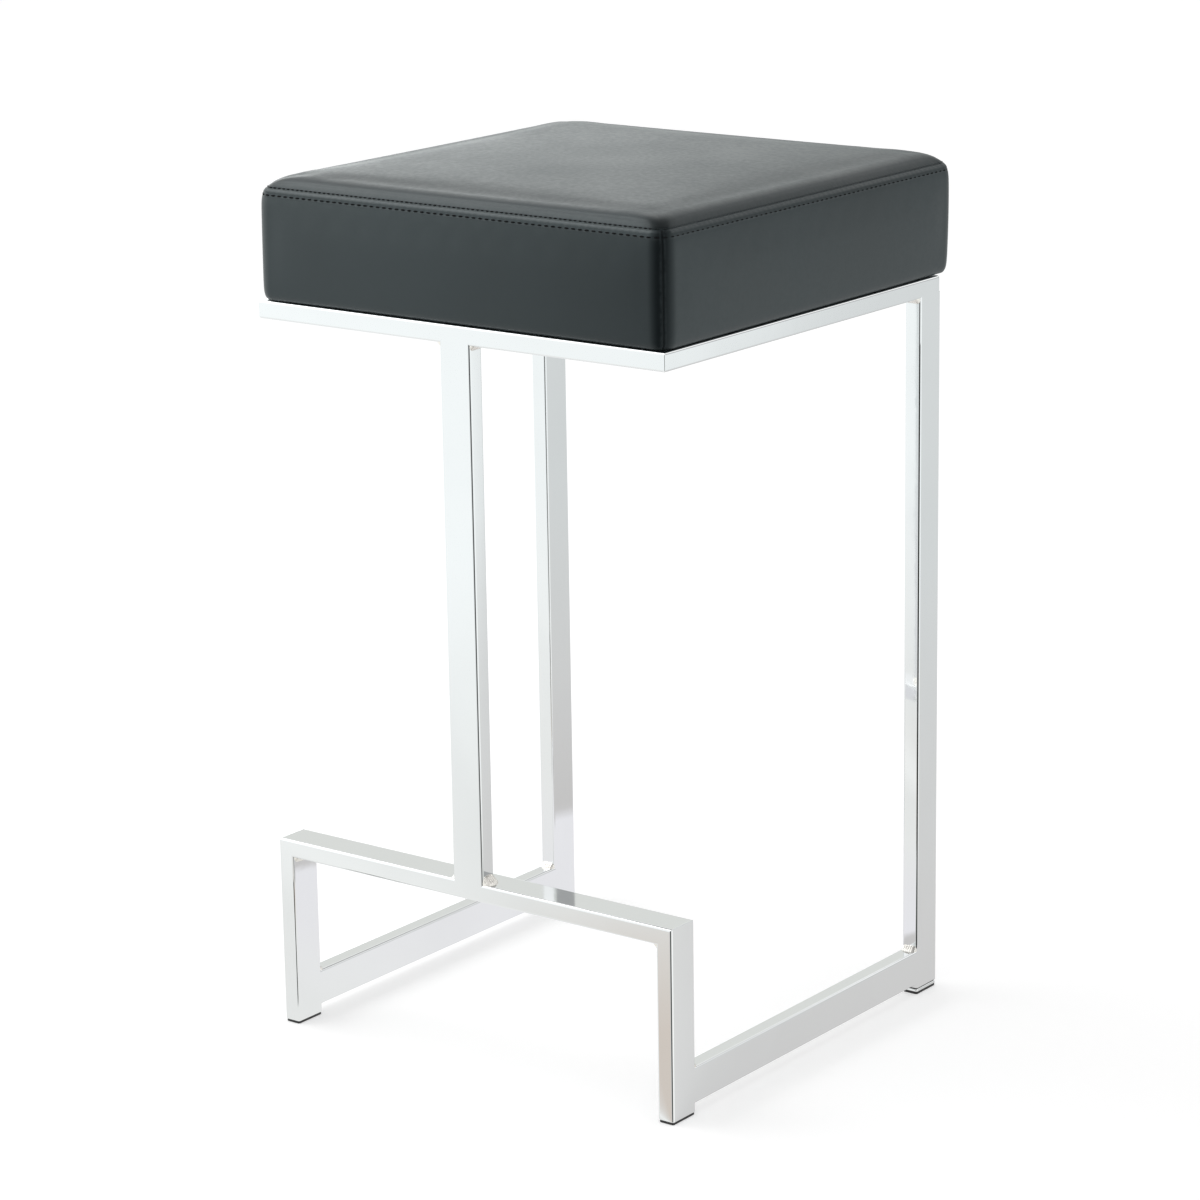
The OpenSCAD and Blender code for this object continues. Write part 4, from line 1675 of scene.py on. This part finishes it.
    def top_marks(self, ring: Points, index: int) -> Points:
        """Painted highlight and painted shade of a ring of the top panel.

        Args:
            ring: the ring's points.
            index: its number from the tuck.

        Returns:
            One row for each point.
        """
        form = self.form
        # Painted highlight: a light line along the top panel's tuck at the seam.
        glint = 0.8 * hill(index, 2.5, len(self.top_tuck))
        inset = form.half - form.seam_inset - ring[:, 0].max()
        # Painted shade: near the corner seams, over the right shoulder, and towards the front and right edges
        # of the top.
        shaded = hill(self.distance, self.seam_shade_top_w) * self.corner_shade(ring) * hill(inset, self.seam_shade_top_w)
        fade = hill(max(inset - self.shade_at, 0), self.shade_w)
        shaded += self.shade * self.on_right(ring) * fade * (1 - shaded)
        edge = hill(form.half + ring[:, 1], self.edge_reach) + hill(form.half - ring[:, 0], self.edge_reach)
        shaded += self.edge_shade * np.clip(edge, 0, 1) * np.clip((inset - 10) / 20, 0, 1) * (1 - shaded)
        return np.column_stack([np.full(form.columns, glint), shaded])

    def top_panel(self) -> None:
        """Makes the crowned top panel with its upper stitch row."""
        form, tucked = self.form, len(self.top_tuck)
        rings, row = self.top_rows()
        thread = np.cos(self.upper_row.phase(rings[row]))
        normals = ring_normals(rings)
        valley_at = self.valley_at + self.valley_skew * rings[row][:, 0] / form.half
        valley_at = valley_at * (1 - self.valley_dip * hill(self.distance, self.valley_dip_w))
        for index in range(tucked, len(rings)):
            ring = rings[index]
            along = np.linalg.norm(ring[0] - rings[row][0]) * (1 if index > row else -1)
            move = -self.upper_groove * self.groove * hill(along, self.upper_groove_w) * (0.7 - 0.3 * thread)
            move += 0.6 * self.ripple * hill(along, 1.8, 2.6) * thread
            valley = self.valley * (1 - 0.7 * self.on_right(ring))
            valley = valley * np.clip(0.2 + (ring[:, 0] + form.half) / self.valley_fade, 0, 1)
            move -= valley * hill(along, self.valley_w, valley_at)
            rings[index] = ring + normals[index] * move[:, None]
        sunk = self.upper_sink + self.right_sink * self.on_right(rings[row])
        upper_line = rings[row] - normals[row] * sunk[:, None]
        shares = np.concatenate([np.linspace(0.985, 0.08, 32), [0.05, 0.025]])
        stack = rings + form.crown_rings(shares)
        marks = [self.top_marks(ring, index) for index, ring in enumerate(stack)]
        stack = [self.fit.swell(ring, upper=True) for ring in stack]
        steps = self.column_steps(tucked + 15, len(rings), shares)
        self.cover("top_panel", *self.weave_rings(stack, steps, marks))
        self.upper_row.sew(upper_line, self.palette.thread)

    def column_steps(self, first: int, second: int, shares: Points) -> list:
        """How many columns apart points are taken: all, from the first ring half, then on the crown fewer."""
        crown = [4 * 2 ** sum(share < limit for limit in (0.5, 0.25, 0.12, 0.06)) for share in shares]
        return [1] * first + [2] * (second - first) + crown

    def weave_rings(self, stack: list, steps: list, marks: list) -> tuple:
        """Joins rings whose column counts halve towards the middle.

        Args:
            stack: full rings from the seam inwards.
            steps: column step of each ring.
            marks: painted highlight and painted shade of each ring's points.

        Returns:
            The mesh parts and the painted highlight and painted shade of each point.
        """
        rings = [ring[::step] for ring, step in zip(stack, steps)]
        starts = [int(start) for start in np.cumsum([0] + [len(ring) for ring in rings])]
        faces = []
        for index in range(len(rings) - 1):
            outer, inner = len(rings[index]), len(rings[index + 1])
            a, b = starts[index], starts[index + 1]
            for k in range(inner):
                n = (k + 1) % inner
                if outer == inner:
                    faces.append((a + k, a + n, b + n, b + k))
                    continue
                left, middle, right = a + 2 * k, a + 2 * k + 1, a + (2 * k + 2) % outer
                faces.extend([(left, middle, b + k), (middle, b + n, b + k), (middle, right, b + n)])
        last, count, pole = starts[-2], len(rings[-1]), starts[-1]
        centre = np.array([[0.0, 0.0, rings[-1][:, 2].mean()]])
        faces.extend([(last + k, last + (k + 1) % count, pole) for k in range(count)])
        values = np.vstack([row[::step] for row, step in zip(marks, steps)] + [np.zeros((1, 2))])
        return MeshParts(np.vstack(rings + [centre]), faces), values

    def foam(self) -> None:
        """Makes the foam block inside the cover."""
        form = self.form
        inset = self.cover_t + self.foam_gap
        heights = np.linspace(form.hem_z + self.cover_t + self.board_t, form.seam_z - 2.5, 12)
        rings = [form.side_ring(z, inset) for z in heights]
        rings += [form.shoulder_ring(angle, inset)
                  for angle in np.linspace(form.shoulder_start + 4, form.shoulder_end, 8)]
        rings += [ring - (0, 0, inset) for ring in form.crown_rings(np.linspace(0.85, 0.05, 14))]
        obj = sleeve([ring[::8] for ring in rings]).build("foam_filling", self.palette.foam)
        place_piece(obj, Slot.FOAM, "foam_block")


@dataclass
class Underside(Group):
    """What closes the seat from below: board, dust cover, staples and seat screws."""

    frame: TubeFrame
    form: SeatForm
    board_node: str = "seat_board"
    insert_node: str = "insert_nuts"
    sheet_half: float = 188.0
    sheet_t: float = 0.5
    sheet_points: int = 97
    sag: float = 1.4
    crumple: float = 0.25
    pull_w: float = 9.0
    staple_row: tuple = (163.0, -163.0, 143.0)
    staples_per_side: int = 6
    staple_w: float = 10.0
    staple_wire: float = 0.8
    staple_leg: float = 8.0
    staple_bend: float = 0.9
    staple_wobble: float = 0.12
    screw_x: float = 185.0
    screw_ys: tuple = (-138.0, 118.0)
    screw_r: float = 2.5
    screw_top_z: float = 623.7
    screw_wobble: float = 6.0
    head_r: float = 4.75
    head_h: float = 2.75
    head_round: tuple = ((0.15, 0.0), (0.0, 0.15), (0.0, 0.7), (0.35, 1.35), (0.95, 1.95), (1.75, 2.45))
    socket_r: float = 1.7
    washer_r: float = 6.0
    washer_t: float = 1.0
    washer_play: float = 0.3
    edge: float = 0.15
    turned_sides: int = 36

    def build(self, nodes: dict) -> None:
        """Makes the pieces and dresses the board and the inserts.

        Args:
            nodes: the CAD nodes by name.
        """
        self.dust_cover()
        rig = fitting_rig()
        places, turns = self.staple_places()
        self.fittings(rig, "staple_rows", "staples", self.staple_parts(), places, turns,
                      {"Wobble": self.staple_wobble, "Seed": 5})
        places = np.array([(side * self.screw_x, y, 0.0) for side in (-1, 1) for y in self.screw_ys])
        for name, node, parts in (("socket_screws", "seat_screws", self.screw_parts()),
                                  ("flat_washers", "seat_washers", self.washer_parts())):
            self.fittings(rig, name, node, parts, places, [0.0] * len(places),
                          {"Wobble": self.screw_wobble, "Seed": 3})
        for name, material in ((self.board_node, self.palette.board), (self.insert_node, self.palette.zinc)):
            nodes[name].data.materials.clear()
            nodes[name].data.materials.append(material)
            log.info("%s: dressed", name)

    def fittings(self, rig: NodeRig, name: str, node: str, parts: MeshParts, places: Points,
                 turns: list, values: dict) -> None:
        """Sets equal fittings with Geometry Nodes.

        Args:
            rig: the tree that sets them.
            name: the piece's name.
            node: the CAD node that it stands for.
            parts: one fitting.
            places: one point for each fitting.
            turns: an angle for each point.
            values: how far they are turned at random, and the seed.
        """
        zinc = self.palette.zinc
        unit = parts.build(f"{name}_unit", zinc)
        source = point_object(f"{name}_points", places, turns)
        obj = rig.run(name, source, {"Fitting": unit, **values, "Finish": zinc})
        bpy.data.objects.remove(unit)
        place_piece(obj, Slot.FASTENER, node)

    def staple_places(self) -> tuple:
        """Places and turns of the staples.

        Returns:
            An array of points and a list of angles.
        """
        row_x, front, rear = self.staple_row
        inner_x, inner_front, inner_rear = self.form.hem_inner
        count, z = self.staples_per_side, self.frame.rail_top_z
        pitch_x, pitch_y = 2 * inner_x / count, (inner_rear - inner_front) / count
        points = []
        for place in range(count):
            along_x = pitch_x * (place - (count - 1) / 2)
            along_y = inner_front + pitch_y * (place + 0.5)
            points.extend([(along_x, front, z), (along_x, rear, z),
                           (-row_x, along_y, z), (row_x, along_y, z)])
        return np.array(points), [0.0, 0.0, math.pi / 2, math.pi / 2] * count

    def dust_cover(self) -> None:
        """Makes the black sheet, pulled up at the staples and sagging between them."""
        frame, count = self.frame, self.sheet_points
        span = np.linspace(-self.sheet_half, self.sheet_half, count)
        x, y = np.meshgrid(span, span)
        low, high = frame.front_y + frame.wide, frame.rear_y - frame.wide
        middle, half = (low + high) / 2, (high - low) / 2
        share_x = np.clip(1 - np.abs(x) / (frame.half_w - frame.wide), 0, 1)
        share_y = np.clip(1 - np.abs(y - middle) / half, 0, 1)
        open_share = share_x * share_y
        waves = np.sin(x / 23 + y / 41) * np.sin(y / 19 - x / 57)
        slack = np.sqrt(open_share) * self.sag + self.crumple * np.clip(3 * open_share, 0, 1) * waves
        for place in self.staple_places()[0]:
            slack *= 1 - hill(np.hypot(x - place[0], y - place[1]), self.pull_w)
        top = self.form.hem_z - 0.02 - np.maximum(slack, 0)
        points = np.column_stack([x.ravel(), y.ravel(), top.ravel()])
        obj = MeshParts(points, grid_faces(count, count)).build("dust_sheet", self.palette.dust_cover)
        solidify(obj, "sheet_thickness", self.sheet_t)
        place_piece(obj, Slot.DUST_COVER, "dust_cover")

    def staple_parts(self) -> MeshParts:
        """A staple of bent square wire, crown down.

        Returns:
            The mesh parts.
        """
        wire, bend = self.staple_wire / 2, self.staple_bend
        half = self.staple_w / 2 - wire
        path = [(-half, self.staple_leg - self.staple_wire), (-half, bend - wire)]
        path += [(-half + bend * (1 - math.cos(a)), bend - wire - bend * math.sin(a))
                 for a in np.radians((30, 60, 90))]
        path = np.array(path + [(-x, z) for x, z in reversed(path)])
        tangents = np.gradient(path, axis=0)
        tangents /= np.linalg.norm(tangents, axis=1, keepdims=True)
        section = rounded_section(2 * wire, 2 * wire, 0.2, 2) - wire
        return sleeve([np.array([(x - turn_z * u, v, z + turn_x * u) for u, v in section])
                       for (x, z), (turn_x, turn_z) in zip(path, tangents)])

    def turned_angles(self) -> Points:
        """Angles of the facets of a turned piece."""
        return np.linspace(0, 2 * math.pi, self.turned_sides, endpoint=False)

    def screw_parts(self) -> MeshParts:
        """A socket screw, head down, with its seat at the height of the washer's underside.

        Returns:
            The mesh parts.
        """
        angles, sixth = self.turned_angles(), math.pi / 3
        hexagon = self.socket_r * math.cos(sixth / 2) / np.cos((angles + sixth / 2) % sixth - sixth / 2)
        seat = self.frame.rail_under_z - self.washer_t
        low, floor = seat - self.head_h, seat - self.head_h / 2
        profile = [(self.screw_r * 0.6, self.screw_top_z), (self.screw_r, self.screw_top_z - 1),
                   (self.screw_r, seat)]
        profile += [(self.head_r - inset, seat - drop) for inset, drop in self.head_round]
        profile += [(self.socket_r + 0.6, low), (hexagon + 0.12, low + 0.03), (hexagon, low + 0.15),
                    (hexagon, floor), (hexagon * 0.5, floor + 0.3)]
        return sleeve([at_height(np.column_stack([radius * np.cos(angles), radius * np.sin(angles)]), height)
                       for radius, height in profile])

    def washer_parts(self) -> MeshParts:
        """A flat washer with broken edges.

        Returns:
            The mesh parts.
        """
        high, edge = self.frame.rail_under_z, self.edge
        low, inner = high - self.washer_t, self.screw_r + self.washer_play
        profile = [(inner, low), (self.washer_r - edge, low), (self.washer_r, low + edge),
                   (self.washer_r, high - edge), (self.washer_r - edge, high), (inner, high)]
        points = np.array([(r * math.cos(angle), r * math.sin(angle), z)
                           for angle in self.turned_angles() for r, z in profile])
        size = len(profile)
        faces = []
        for at in range(0, len(points), size):
            beside = (at + size) % len(points)
            for j in range(size):
                k = (j + 1) % size
                faces.append((at + j, beside + j, beside + k, at + k))
        return MeshParts(points, outward(points, faces))


# Stage

@dataclass(frozen=True)
class PhotoCamera:
    """The camera that the photograph was taken with, as solved from the stool's corners."""

    azimuth: float = 37.210
    elevation: float = 14.902
    roll: float = -0.909
    focal_px: float = 3957.7
    image_px: float = 1200.0
    sensor: float = 36.0
    clip: tuple = (0.05, 60.0)
    aim_z: float = 330.0
    side: float = -12.56
    rise: float = 18.26
    distance: float = 3258.4

    def build(self) -> None:
        """Makes the camera and gives it to the scene."""
        azimuth, elevation, roll = (math.radians(a) for a in (self.azimuth, self.elevation, self.roll))
        back = Vector((math.sin(azimuth) * math.cos(elevation),
                       -math.cos(azimuth) * math.cos(elevation), math.sin(elevation)))
        level = Vector((math.cos(azimuth), math.sin(azimuth), 0))
        upright = back.cross(level)
        right = level * math.cos(roll) + upright * math.sin(roll)
        up = upright * math.cos(roll) - level * math.sin(roll)
        place = Vector((0, 0, self.aim_z)) + back * self.distance + right * self.side + up * self.rise
        data = bpy.data.cameras.new("photo_camera")
        data.sensor_width = self.sensor
        data.lens = self.focal_px / self.image_px * self.sensor
        data.clip_start, data.clip_end = self.clip
        camera = add_object("photo_camera", data)
        turn = Matrix((right, up, back)).transposed().to_4x4()
        camera.matrix_world = Matrix.Translation(place * MM) @ turn
        bpy.context.scene.camera = camera


@dataclass(frozen=True)
class SoftBox:
    """A soft box that faces the seat; its distances are in metres."""

    name: str = "key_box"
    size: tuple = (1.7, 1.3)
    watts: float = 14.0
    azimuth: float = 198.0
    elevation: float = 50.0
    distance: float = 2.3
    aim_z: float = 0.45

    def build(self) -> None:
        """Adds the lamp."""
        data = bpy.data.lights.new(self.name, "AREA")
        data.shape = "RECTANGLE"
        data.size, data.size_y = self.size
        data.energy = self.watts
        a, e = math.radians(self.azimuth), math.radians(self.elevation)
        way = Vector((math.cos(a) * math.cos(e), math.sin(a) * math.cos(e), math.sin(e)))
        lamp = add_object(self.name, data)
        lamp.location = way * self.distance + Vector((0, 0, self.aim_z))
        lamp.rotation_mode = "QUATERNION"
        lamp.rotation_quaternion = way.to_track_quat("Z", "Y")


@dataclass
class Studio:
    """Pale floor, a soft box and an even white surround.

    Tones are what polished metal shows of the floor and the surround, as shares of the
    white, over angles in degrees round a point of the floor.
    """

    key: SoftBox = SoftBox()
    floor_half: float = 9.0
    floor_color: float = 0.80
    floor_lift: float = 0.37
    world_light: float = 0.80
    white: float = 0.8
    flag_tone: float = 0.02
    flags: tuple = ((-0.177, -0.138, -0.24, 0.0, 0.11), (0.2005, 0.228, 0.14, 0.035, 0.555))
    tone_centre: tuple = (0.2, -0.2)
    tone_reach: tuple = (0.45, 1.8)
    far_tint: tuple = (0.97, 1.0, 1.0)
    far_tones: tuple = (
        (-180, 1.1), (-158, 1.1), (-146, 1.04), (-139.5, 1.05), (-137.3, 1.13), (-135, 1.09),
        (-132, 1.08), (-128, 1.05), (-120, 1.06), (-117, 1.15), (-112, 1.0), (-104, 0.52),
        (-85, 0.48), (-80, 0.02), (-47, 0.02), (-43, 0.45), (-33, 0.5), (-22, 1.1), (36, 1.05),
        (50, 1.03), (54, 1.0), (57, 0.87), (58.2, 0.81), (60, 0.78), (66, 0.745), (84, 0.74),
        (94, 0.70), (109.5, 0.66), (112.5, 0.90), (130, 0.90), (180, 1.1),
    )
    near_tint: tuple = (0.995, 1.0, 0.985)
    near_tones: tuple = (
        (-180, 0.92), (-160, 0.90), (-153, 0.99), (-149, 0.96), (-140, 0.88), (-118, 0.86),
        (-112, 0.80), (-104, 0.5), (-85, 0.45), (-80, 0.02), (-47, 0.02), (-43, 0.45),
        (-33, 0.5), (-22, 1.1), (36, 1.05), (50, 0.80), (56, (0.775, 0.77, 0.765)),
        (70, (0.715, 0.71, 0.705)), (88, (0.69, 0.68, 0.675)), (109.5, (0.64, 0.625, 0.62)),
        (112.5, (0.91, 0.90, 0.93)), (140, (0.91, 0.90, 0.92)), (180, 0.92),
    )
    warm: tuple = (0.72, 0.65, 0.59)
    warm_angles: tuple = (-150, -132, -118, -108)
    warm_reach: tuple = (0.2, 0.62)
    height_tones: tuple = (
        (-1.0, 0.60), (-0.05, 0.72), (0.0, (0.845, 0.87, 0.867, 1.0)), (0.20, (0.863, 0.893, 0.89, 1.0)),
        (0.27, (0.62, 0.63, 0.61, 1.0)), (0.38, (0.62, 0.63, 0.61, 1.0)), (0.44, 1.0), (0.54, 1.0),
        (0.68, 0.27), (0.80, 0.30), (0.90, 0.85), (1.0, 0.9),
    )
    side_level: float = 0.6
    side_reach: tuple = (0.20, 0.27)
    side_tones: tuple = (
        (-180, 0.8), (-152, 1.25), (-137, 1.2), (-125, 0.6), (0, 0.6), (95, 0.16), (117, 0.20),
        (123, 0.30), (127.5, 0.70), (131, 1.05), (138, 1.35), (150, 1.45), (180, 0.8),
    )
    cards: tuple = (
        ((-112, -104, -33, -22), (-1.1, -1.05, 0.20, 0.32), 0.45),
        ((-85, -80, -47, -43), (-1.1, -1.05, 0.20, 0.32), 0.03),
        ((-152, -142, -112, -102), (0.22, 0.26, 0.36, 0.42), 0.90),
        ((32, 46, 60, 72), (0.22, 0.26, 0.36, 0.42), 0.36),
    )

    def build(self) -> None:
        """Makes the floor, the flags, the world and the lamp."""
        self.floor()
        self.flag()
        self.world()
        self.key.build()
        bpy.context.scene.view_settings.view_transform = "Standard"

    def floor(self) -> None:
        """Makes the floor: white to the camera, and darker towards the camera side in reflections."""
        material, sheet = new_material("studio_paper")
        path = sheet.add("ShaderNodeLightPath")
        mirrored = sheet.mirrored(path)
        seen = sheet.math("MAXIMUM", path.outputs["Is Camera Ray"], mirrored)
        tone = self.mirror_tone(sheet)
        diffuse = sheet.out("ShaderNodeBsdfDiffuse", {
            "Color": sheet.blend(mirrored, grey(self.floor_color), grey(0.0)),
        })
        glow = sheet.out("ShaderNodeEmission", {
            "Color": sheet.blend(mirrored, grey(self.white * self.floor_lift), tone),
            "Strength": sheet.math("MULTIPLY", seen, 1 / self.white),
        })
        total = sheet.out("ShaderNodeAddShader", {0: diffuse, 1: glow})
        sheet.add("ShaderNodeOutputMaterial", {"Surface": total})
        half = self.floor_half
        stage_card("studio_floor", [(-half, -half, 0), (half, -half, 0), (half, half, 0), (-half, half, 0)],
                   material)

    def mirror_tone(self, sheet: ShaderSheet) -> Socket:
        """Colour of the floor as polished metal shows it.

        Args:
            sheet: the floor's tree.

        Returns:
            The colour.
        """
        axes = sheet.add("ShaderNodeSeparateXYZ", {"Vector": sheet.place()})
        x, y = axes.outputs["X"], axes.outputs["Y"]
        from_x, from_y = (sheet.math("SUBTRACT", at, centre) for at, centre in zip((x, y), self.tone_centre))
        angle = sheet.math("ARCTAN2", from_y, from_x)
        far = sheet.ramp(angle, self.stops(self.far_tones, self.far_tint), math.pi)
        near = sheet.ramp(angle, self.stops(self.near_tones, self.near_tint), math.pi)
        share = sheet.spread(self.length(sheet, x, y), 0.0, 1.0, *self.tone_reach)
        fade = sheet.spread(self.length(sheet, from_x, from_y), 1.0, 0.0, *self.warm_reach)
        warm = sheet.math("MULTIPLY", sheet.band(angle, *np.radians(self.warm_angles)), fade)
        return sheet.blend(warm, sheet.blend(share, near, far), self.shown(self.warm))

    def length(self, sheet: ShaderSheet, x: Socket, y: Socket) -> Socket:
        """Length of a way on the floor."""
        squares = sheet.math("ADD", sheet.math("MULTIPLY", x, x), sheet.math("MULTIPLY", y, y))
        return sheet.math("SQRT", squares)

    def shown(self, tone: float | tuple, tint: tuple = ()) -> tuple:
        """What polished metal shows of a tone, or of a grey level in a tint."""
        color = tone if isinstance(tone, tuple) else [tone * part for part in tint]
        return tuple(self.white * part for part in color) + (1.0,)

    def stops(self, tones: tuple, tint: tuple) -> tuple:
        """Ramp stops from angles in degrees and floor tones, where grey levels take a tint."""
        return tuple((math.radians(angle), self.shown(tone, tint)) for angle, tone in tones)

    def flag(self) -> None:
        """Adds black cards in front of two legs' edges; only polished metal behind them sees them."""
        material, sheet = new_material("edge_flag_black")
        path = sheet.add("ShaderNodeLightPath")
        back = sheet.add("ShaderNodeNewGeometry").outputs["Backfacing"]
        clear = sheet.out("ShaderNodeBsdfTransparent", {})
        black = sheet.out("ShaderNodeEmission", {"Color": grey(self.flag_tone), "Strength": 1.0})
        seen = sheet.math("MULTIPLY", path.outputs["Is Glossy Ray"], back)
        mixed = sheet.out("ShaderNodeMixShader", {0: seen, 1: clear, 2: black})
        sheet.add("ShaderNodeOutputMaterial", {"Surface": mixed})
        stage_card("edge_flag", [
            corner for left, right, y, low, high in self.flags for corner in
            ((left, y, low), (right, y, low), (right, y, high), (left, y, high))
        ], material)

    def world(self) -> None:
        """Sets the surround: white to the camera, softer and shaded as polished metal shows it."""
        world = bpy.data.worlds.new("studio_surround")
        bpy.context.scene.world = world
        world.use_nodes = True
        sheet = ShaderSheet(world.node_tree)
        path = sheet.add("ShaderNodeLightPath")
        axes = sheet.add("ShaderNodeSeparateXYZ", {"Vector": sheet.place("Generated")})
        height = axes.outputs["Z"]
        angle = sheet.math("ARCTAN2", axes.outputs["Y"], axes.outputs["X"])
        side = sheet.ramp(angle, tuple((math.radians(at), level) for at, level in self.side_tones), math.pi)
        low = sheet.spread(height, 1.0, 0.0, *self.side_reach)
        side = sheet.blend(low, grey(self.side_level), side)
        tone = sheet.ramp(height, self.height_tones, 1.0)
        tone = sheet.out("ShaderNodeVectorMath", {0: tone, 1: side}, operation="MULTIPLY")
        tone = sheet.out("ShaderNodeVectorMath", {0: tone, 3: 1 / self.side_level}, operation="SCALE")
        for angles, heights, level in self.cards:
            sector, zone = sheet.band(angle, *np.radians(angles)), sheet.band(height, *heights)
            share = sheet.math("MULTIPLY", sector, zone)
            tone = sheet.blend(share, tone, grey(level))
        mirrored = sheet.mirrored(path)
        color = sheet.blend(mirrored, grey(self.world_light), tone)
        color = sheet.blend(path.outputs["Is Camera Ray"], color, grey(1.0))
        strength = sheet.math("ADD", 1.0, sheet.math("MULTIPLY", mirrored, 1 / self.white - 1))
        shader = sheet.out("ShaderNodeBackground", {"Color": color, "Strength": strength})
        sheet.add("ShaderNodeOutputWorld", {"Surface": shader})


def main() -> None:
    """Loads the frame, dresses the stool and sets the stage."""
    logging.basicConfig(level=logging.INFO, format="%(name)s: %(message)s")
    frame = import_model()
    palette = Palette()
    tubes = TubeFrame(palette)
    tubes.build()
    Welds(palette, tubes).build()
    Feet(palette, tubes).build()
    seat = Seat(palette)
    seat.build()
    Underside(palette, tubes, seat.form).build(frame["nodes"])
    PhotoCamera().build()
    Studio().build()


if __name__ == "__main__":
    main()
